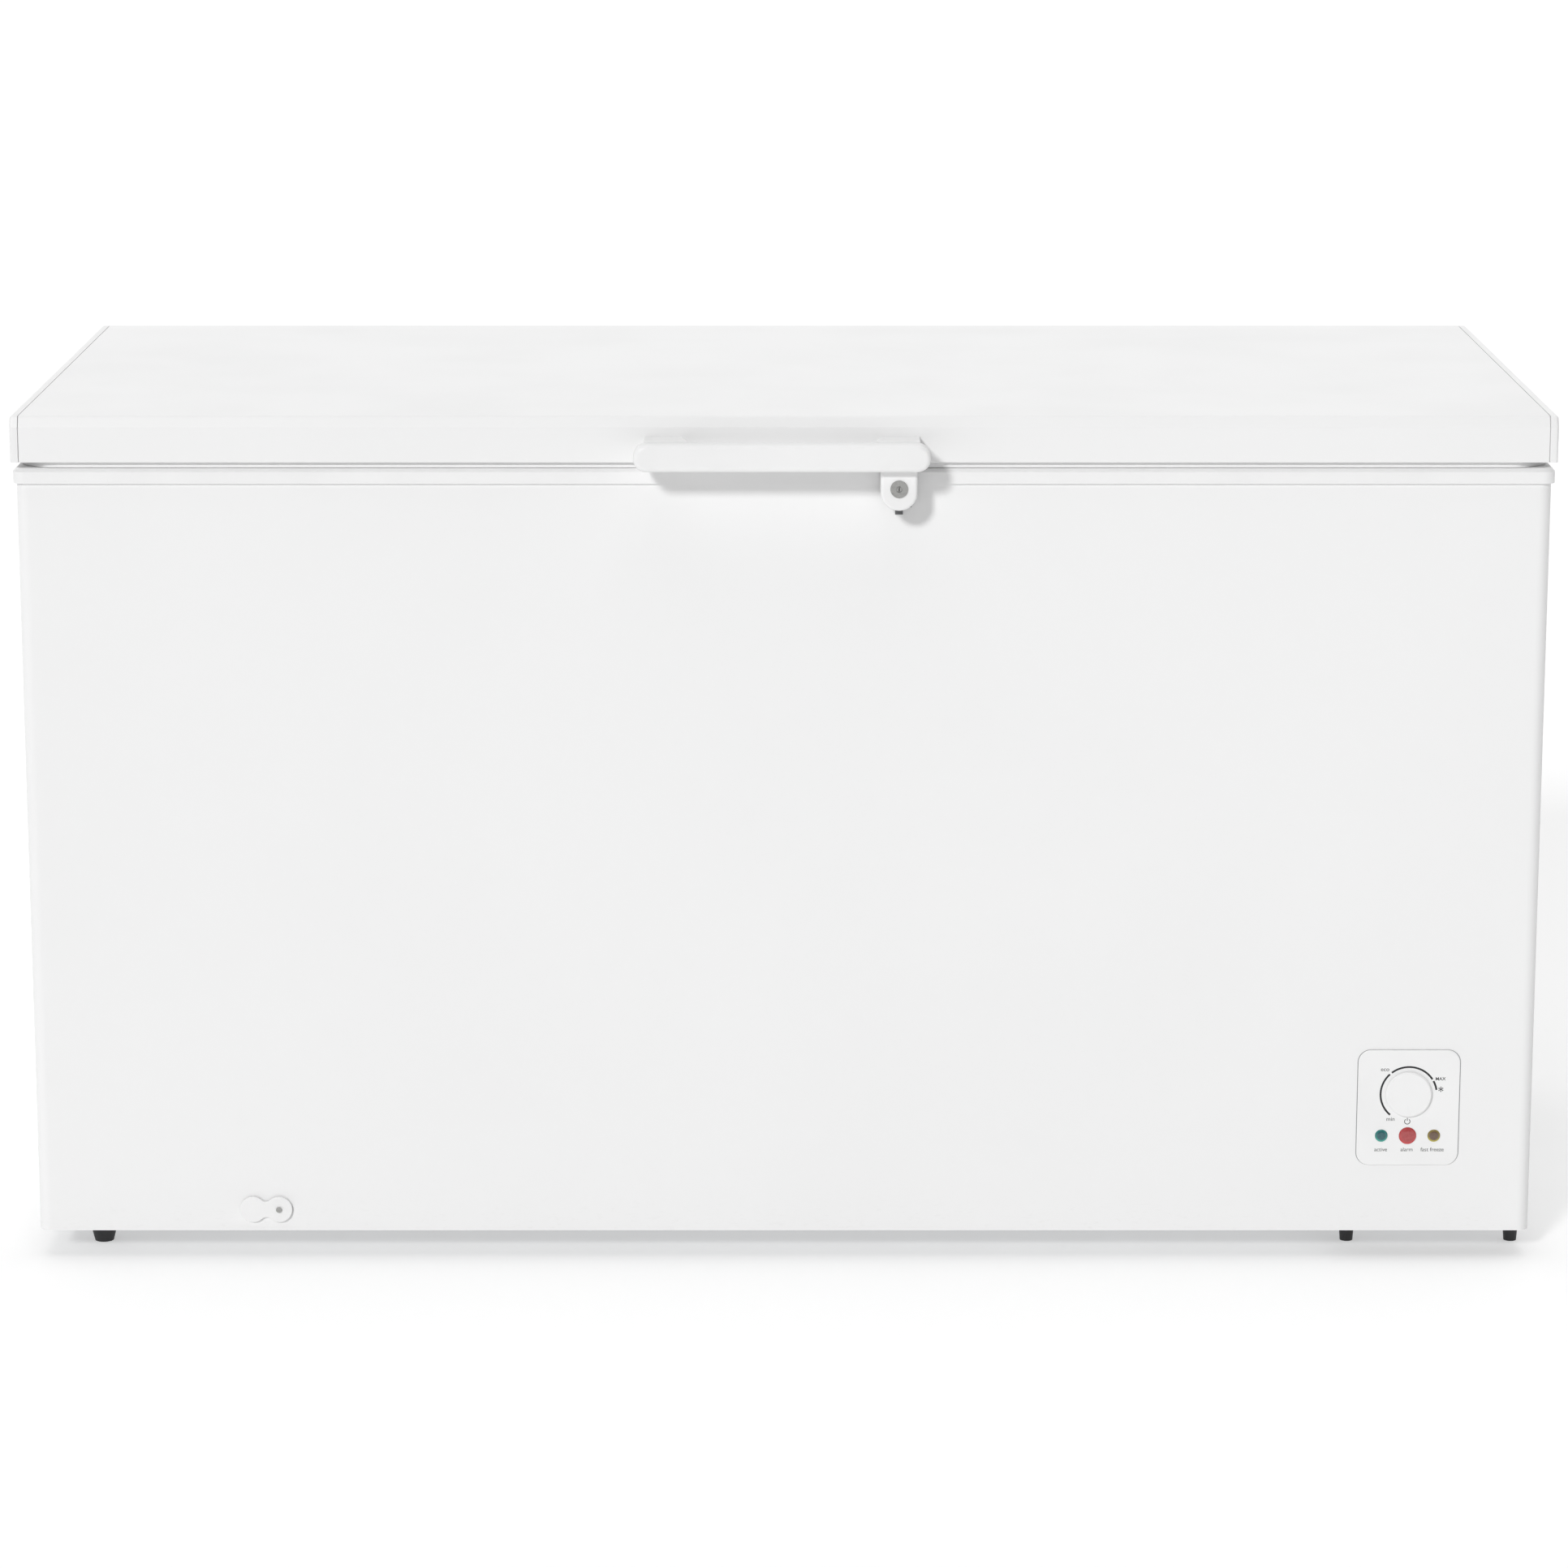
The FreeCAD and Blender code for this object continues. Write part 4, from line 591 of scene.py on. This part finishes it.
def screws(name, spots, axis, radius, body, height):
    """Pan heads at several spots, facing the same way, each turned a little differently."""
    base = frame_for(axis)
    parts = []
    for i, spot in enumerate(spots):
        turn = base @ Matrix.Rotation(0.7 * i + 0.3, 3, "Z")
        sized = [Vector((v.x * radius, v.y * radius, v.z * radius * height)) for v in SCREW[0]]
        parts.append(([Vector(spot) + turn @ v for v in sized], SCREW[1]))
    return gather(name, parts, LOOKS["bright_metal"], body)


def lettering(name, text, at, height, look, body, bold=False):
    """Printed words as a thin upright mesh that faces the front; at is the middle of the line's foot."""
    curve = bpy.data.curves.new(name, "FONT")
    curve.body = text
    curve.size = height
    curve.align_x = "CENTER"
    curve.extrude = 0.02 * MM
    curve.offset = 0.012 * height if bold else 0.0
    source = bpy.data.objects.new(name + "_line", curve)
    scene.collection.objects.link(source)
    bpy.context.view_layer.update()
    mesh = bpy.data.meshes.new_from_object(source.evaluated_get(bpy.context.evaluated_depsgraph_get()))
    bpy.data.objects.remove(source)
    right, up = Vector((1, 0, 0)), Vector((0, 0, 1))
    out = right.cross(up)
    verts = [Vector(at) + right * v.co.x + up * v.co.y + out * v.co.z for v in mesh.vertices]
    return piece(name, verts, [tuple(p.vertices) for p in mesh.polygons], look, body, smooth=False)


# ---------------------------------------------------------------- control panel

bezel_low, bezel_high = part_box("control_bezel")
knob_low, knob_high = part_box("thermostat_knob")
PANEL_Y = bezel_low[1]
DIAL = Vector(((knob_low[0] + knob_high[0]) / 2, PANEL_Y, (knob_low[2] + knob_high[2]) / 2))
INK_THICK = 0.03 * MM
INK_Y = PANEL_Y - INK_THICK


def on_panel(u, v, depth):
    """From millimetres right of and above the dial's middle to the row frame, depth metres proud."""
    return (DIAL.x + u * MM, INK_Y - depth, DIAL.z + v * MM)


def arc(u, v, radius, width, start, end, steps):
    """A printed arc round a place on the panel, between two clock angles in degrees."""
    rows = ([], [])
    for i in range(steps + 1):
        a = math.radians(start + (end - start) * i / steps)
        for row, r in zip(rows, (radius - width / 2, radius + width / 2)):
            row.append((u + math.sin(a) * r, v + math.cos(a) * r))
    return strip_mesh(*rows, on_panel, INK_THICK)


def bar(u0, v0, u1, v1, width):
    """A printed straight stroke between two places on the panel."""
    along = Vector((u1 - u0, v1 - v0)).normalized()
    side = Vector((-along.y, along.x)) * width / 2
    a, b = Vector((u0, v0)), Vector((u1, v1))
    outline = [a - side, b - side, b + side, a + side]
    return prism_mesh([tuple(p) for p in outline], on_panel, INK_THICK)


# Printed marks, in millimetres from the dial's middle: the scale, the off symbol and the snow flake.

SCALE_RADIUS = 27.9
SCALE_WIDTH = 1.9
SCALE_ARCS = ((220, 317), (322, 417), (421, 441))
OFF_U = -0.6
OFF_V = -28.3
OFF_LINE = 0.7
SNOW_U = 32.0
SNOW_V = 5.0
SNOW_ARM = 2.6
TWIG_ROOT = 1.7
TWIG_LEAN = 0.6

scale = [arc(0, 0, SCALE_RADIUS, SCALE_WIDTH, start, end, 40) for start, end in SCALE_ARCS]
gather("dial_scale", scale, INK, "cabinet", smooth=False)
off = [arc(OFF_U, OFF_V, 2.7, OFF_LINE, 35, 325, 28), bar(OFF_U, OFF_V + 0.7, OFF_U, OFF_V + 3.7, OFF_LINE)]
gather("off_symbol", off, INK, "cabinet", smooth=False)


def in_snow(a, reach):
    """The place at a clock angle in radians and a reach from the snow flake's middle."""
    return SNOW_U + reach * math.sin(a), SNOW_V + reach * math.cos(a)


snow = []
for i in range(3):
    a = math.radians(60 * i)
    snow.append(bar(*in_snow(a, -SNOW_ARM), *in_snow(a, SNOW_ARM), 0.6))
for i in range(6):
    a = math.radians(60 * i)
    u, v = in_snow(a, TWIG_ROOT)
    for lean in (-TWIG_LEAN, TWIG_LEAN):
        snow.append(bar(u, v, u + math.sin(a + lean), v + math.cos(a + lean), 0.4))
gather("fast_freeze_symbol", snow, INK, "cabinet", smooth=False)

WORDS = (("label_eco", "eco", -24.0, 23.7, 5.9, False), ("label_max", "MAX", 31.4, 14.2, 4.7, True),
         ("label_min", "min", -17.3, -27.6, 5.8, False))
for name, text, u, v, height, bold in WORDS:
    lettering(name, text, on_panel(u, v, 0), height * MM, INK, "cabinet", bold=bold)
for name, text, u in (("label_active", "active", -26.4), ("label_alarm", "alarm", -0.5),
                      ("label_fast_freeze", "fast freeze", 25.0)):
    lettering(name, text, on_panel(u, -59.1, 0), 5.6 * MM, INK, "cabinet")

# A dark grey strip round the bezel: a painted shadow line where the bezel's edge casts shade, narrower
# along the top and bottom than at the sides.

BEZEL_CORNER = 13 * MM
BEZEL_PROUD = 1.6 * MM
SHADOW_LINE_PROFILE = [(0.05, 0.0), (0.75, 0.0), (0.75, 0.15), (0.45, 0.42), (0.05, 0.42)]
NARROW = 0.35
bezel_path = round_rectangle(bezel_low[0], bezel_low[2], bezel_high[0], bezel_high[2], BEZEL_CORNER)
verts, faces = [], []
m = len(SHADOW_LINE_PROFILE)
face_y = bezel_low[1] + BEZEL_PROUD
for x, z, nx, nz in bezel_path:
    squeeze = NARROW + (1 - NARROW) * abs(nx)
    for out, proud in SHADOW_LINE_PROFILE:
        away = out * squeeze * MM
        verts.append(Vector((x + nx * away, face_y - proud * MM, z + nz * away)))
for i in range(len(bezel_path)):
    j = (i + 1) % len(bezel_path)
    faces += [(i * m + k, j * m + k, j * m + (k + 1) % m, i * m + (k + 1) % m) for k in range(m)]
piece("bezel_shadow_line", verts, faces, PAINTED_SHADOW_LINE, "cabinet")

LAMP_RING = ((0.05, -0.3), (0.6, -0.2), (0.6, 0.15), (0.4, 0.35), (0.15, 0.35), (0.05, 0.2))
for name in ("lamp_active", "lamp_alarm", "lamp_fast_freeze"):
    low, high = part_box(name)
    centre = ((low[0] + high[0]) / 2, PANEL_Y, (low[2] + high[2]) / 2)
    radius = (high[0] - low[0]) / 2 - LAMP_FLANGE
    profile = [(radius + out * MM, proud * MM) for out, proud in LAMP_RING]
    turned_ring(name + "_ring", profile, centre, (0, -1, 0), LOOKS["white_plastic"], "cabinet")

# ---------------------------------------------------------------- seal, screws and small fittings

# The lid seal's section: millimetres out from its outer edge and shares of its height.

BELLOWS = [(-0.5, 0.0), (-1.0, 0.10), (-1.0, 0.34), (-3.2, 0.42), (-3.2, 0.56), (-1.0, 0.64),
           (-1.2, 0.80), (-0.6, 1.0), (-14.6, 1.0), (-14.0, 0.80), (-11.8, 0.64), (-11.8, 0.56),
           (-14.0, 0.42), (-14.0, 0.10), (-13.4, 0.0), (-9, 0.03), (-7, 0.0), (-4, 0.03)]
gasket_low, gasket_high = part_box("lid_gasket")
seal_path = round_rectangle(gasket_low[0], gasket_low[1], gasket_high[0], gasket_high[1], 18 * MM)
z0, z1 = gasket_low[2], gasket_high[2]
rise = z1 - z0
section = [(out * MM, z0 + rise * up) for out, up in reversed(BELLOWS)]
seal = ring_sweep("seal_bellows", seal_path, section, LOOKS["white_rubber"], "lid")
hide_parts("lid_gasket")

# The seal's outer lip, so far out that it hangs over the rim's edge.

FIN_REACH = 20.5
fin = [(FIN_REACH - 2.5, z1 - 0.1 * MM), (FIN_REACH - 0.6, z0 + 1.2 * MM), (FIN_REACH, z0 + 0.1 * MM),
       (FIN_REACH + 0.5, z0 + 0.1 * MM), (FIN_REACH + 0.3, z0 + 1.4 * MM), (FIN_REACH - 1.2, z1 - 0.1 * MM)]
ring_sweep("seal_fin", seal_path, [(out * MM, z) for out, z in fin], LOOKS["white_rubber"], "lid")

# Stiffening beads pressed into the lid's inner panel, and the collar round the tub's drain.

pan_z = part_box("lid_inner_panel")[0][2]
BEAD = [(-6.0, 0.1), (-4.6, -0.7), (-2.6, -1.7), (0.0, -2.1), (2.6, -1.7), (4.6, -0.7), (6.0, 0.1)]
BEAD_LOW = (-0.590, -0.190)
BEAD_HIGH = (0.590, 0.222)
BEAD_CORNER = 40 * MM
section = [(out * MM, pan_z + z * MM) for out, z in BEAD]
for name, inset in (("lid_bead_outer", 0.0), ("lid_bead_inner", 62 * MM)):
    low = [edge + inset for edge in BEAD_LOW]
    high = [edge - inset for edge in BEAD_HIGH]
    ring_sweep(name, round_rectangle(*low, *high, BEAD_CORNER), section, LOOKS["white_plastic"], "lid")

plug_low, plug_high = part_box("drain_plug")
tub_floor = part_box("liner")[0][2] + 1.0 * MM
drain = ((plug_low[0] + plug_high[0]) / 2, (plug_low[1] + plug_high[1]) / 2, tub_floor)
COLLAR = [(14.2, -0.2), (14.2, 0.5), (15.0, 1.2), (18.6, 1.3), (20.6, 0.9), (21.4, 0.2), (21.4, -0.2)]
section = [(radius * MM, height * MM) for radius, height in COLLAR]
turned_ring("drain_collar", section, drain, (0, 0, 1), LOOKS["white_plastic"], "cabinet")

# The six-sided nut of the mains cord's gland, behind the rear grille.

NUT_SPREAD = 1.22
NUT_THICK = 3.4 * MM
NUT_STEP = 6
gland_low, gland_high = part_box("mains_cord_gland")
gland_x = (gland_low[0] + gland_high[0]) / 2
gland_z = (gland_low[2] + gland_high[2]) / 2
gland_radius = (gland_high[0] - gland_low[0]) / 2
nut_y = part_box("rear_grille")[1][1] + 0.05 * MM


def round_gland(u, v, depth):
    """From metres across and above the gland's middle to the row frame, depth metres behind the grille."""
    return (gland_x + u, nut_y + depth, gland_z + v)


rows = ([], [])
for degrees in range(0, 361, NUT_STEP):
    a = math.radians(degrees)
    flat = gland_radius * NUT_SPREAD / math.cos(math.radians(degrees % 60 - 30))
    for row, r in zip(rows, (gland_radius + 0.05 * MM, flat)):
        row.append((r * math.cos(a), r * math.sin(a)))
ring = strip_mesh(*rows, round_gland, NUT_THICK)
nut = gather("cord_gland_nut", [ring], LOOKS["black_plastic"], "cabinet", smooth=False)
bevel(nut, 0.5 * MM)

# Screw heads, as far in from the edges of their parts as named here.

BACK = (0, 1, 0)
RIGHT = (1, 0, 0)
COLUMNS = 9
COLUMN_INSET = 12 * MM
ROW_INSET = 7 * MM
GRILLE_INSET_X = 6 * MM
GRILLE_INSET_Z = 8 * MM
COVER_X = (16 * MM, 44 * MM)
COVER_Z = (24 * MM, 70 * MM)
LEAF_X = (-16 * MM, 16 * MM)
LEAF_Z = (27 * MM, 43 * MM)
LEAF_SUNK = 2.5 * MM

rear_low, rear_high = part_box("rear_panel")
back_y = rear_low[1] + 1.0 * MM
pitch = (rear_high[0] - rear_low[0] - 2 * COLUMN_INSET) / (COLUMNS - 1)
columns = [rear_low[0] + COLUMN_INSET + i * pitch for i in range(COLUMNS)]
spots = [(x, back_y, rear_high[2] - ROW_INSET) for x in columns]
spots += [(x, back_y, rear_low[2] + ROW_INSET) for x in columns[:-2]]
screws("rear_panel_screws", spots, BACK, 4.2 * MM, "cabinet", 0.8)

low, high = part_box("rear_grille")
edges_x = (low[0] + GRILLE_INSET_X, high[0] - GRILLE_INSET_X)
edges_z = (low[2] + GRILLE_INSET_Z, high[2] - GRILLE_INSET_Z)
spots = [(x, high[1], z) for x in edges_x for z in edges_z]
screws("rear_grille_screws", spots, BACK, 4.0 * MM, "cabinet", 0.8)

low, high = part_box("side_vent_grille")
edges_y = (low[1] + GRILLE_INSET_X, high[1] - GRILLE_INSET_X)
edges_z = (low[2] + GRILLE_INSET_Z, high[2] - GRILLE_INSET_Z)
spots = [(high[0], y, z) for y in edges_y for z in edges_z]
screws("side_vent_screws", spots, RIGHT, 3.4 * MM, "cabinet", 0.5)

for side in ("left", "right"):
    low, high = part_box("hinge_base_" + side)
    spots = [(low[0] + x, high[1], low[2] + z) for x in COVER_X for z in COVER_Z]
    screws("hinge_cover_screws_" + side, spots, BACK, 3.6 * MM, "cabinet", 0.7)
    low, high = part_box("hinge_leaf_" + side)
    middle = (low[0] + high[0]) / 2
    spots = [(middle + x, low[1] + LEAF_SUNK, low[2] + z) for x in LEAF_X for z in LEAF_Z]
    made = screws("hinge_leaf_heads_" + side, spots, BACK, 4.4 * MM, "lid", 0.8)
    if side == "left":
        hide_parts("hinge_leaf_screws")

# ---------------------------------------------------------------- floor

FLOOR_GLOW = 0.41
FLOOR_SIZE = 160.0
floor_look = Finish("studio_floor", (0.62, 0.62, 0.62), 0.75, specular=0.2)
floor_look.tint(floor_look.ramp(floor_look.noise(1.5, 2), 0.3, 0.7), (0.61, 0.61, 0.61), 0.5)
floor_look.shader.inputs["Emission Color"].default_value = (1.0, 1.0, 1.0, 1.0)
floor_look.shader.inputs["Emission Strength"].default_value = FLOOR_GLOW
bpy.ops.mesh.primitive_grid_add(x_subdivisions=8, y_subdivisions=8, size=FLOOR_SIZE, location=(0, 0, 0))
floor = bpy.context.object
floor.name = "floor"
floor.data.materials.append(floor_look.material)
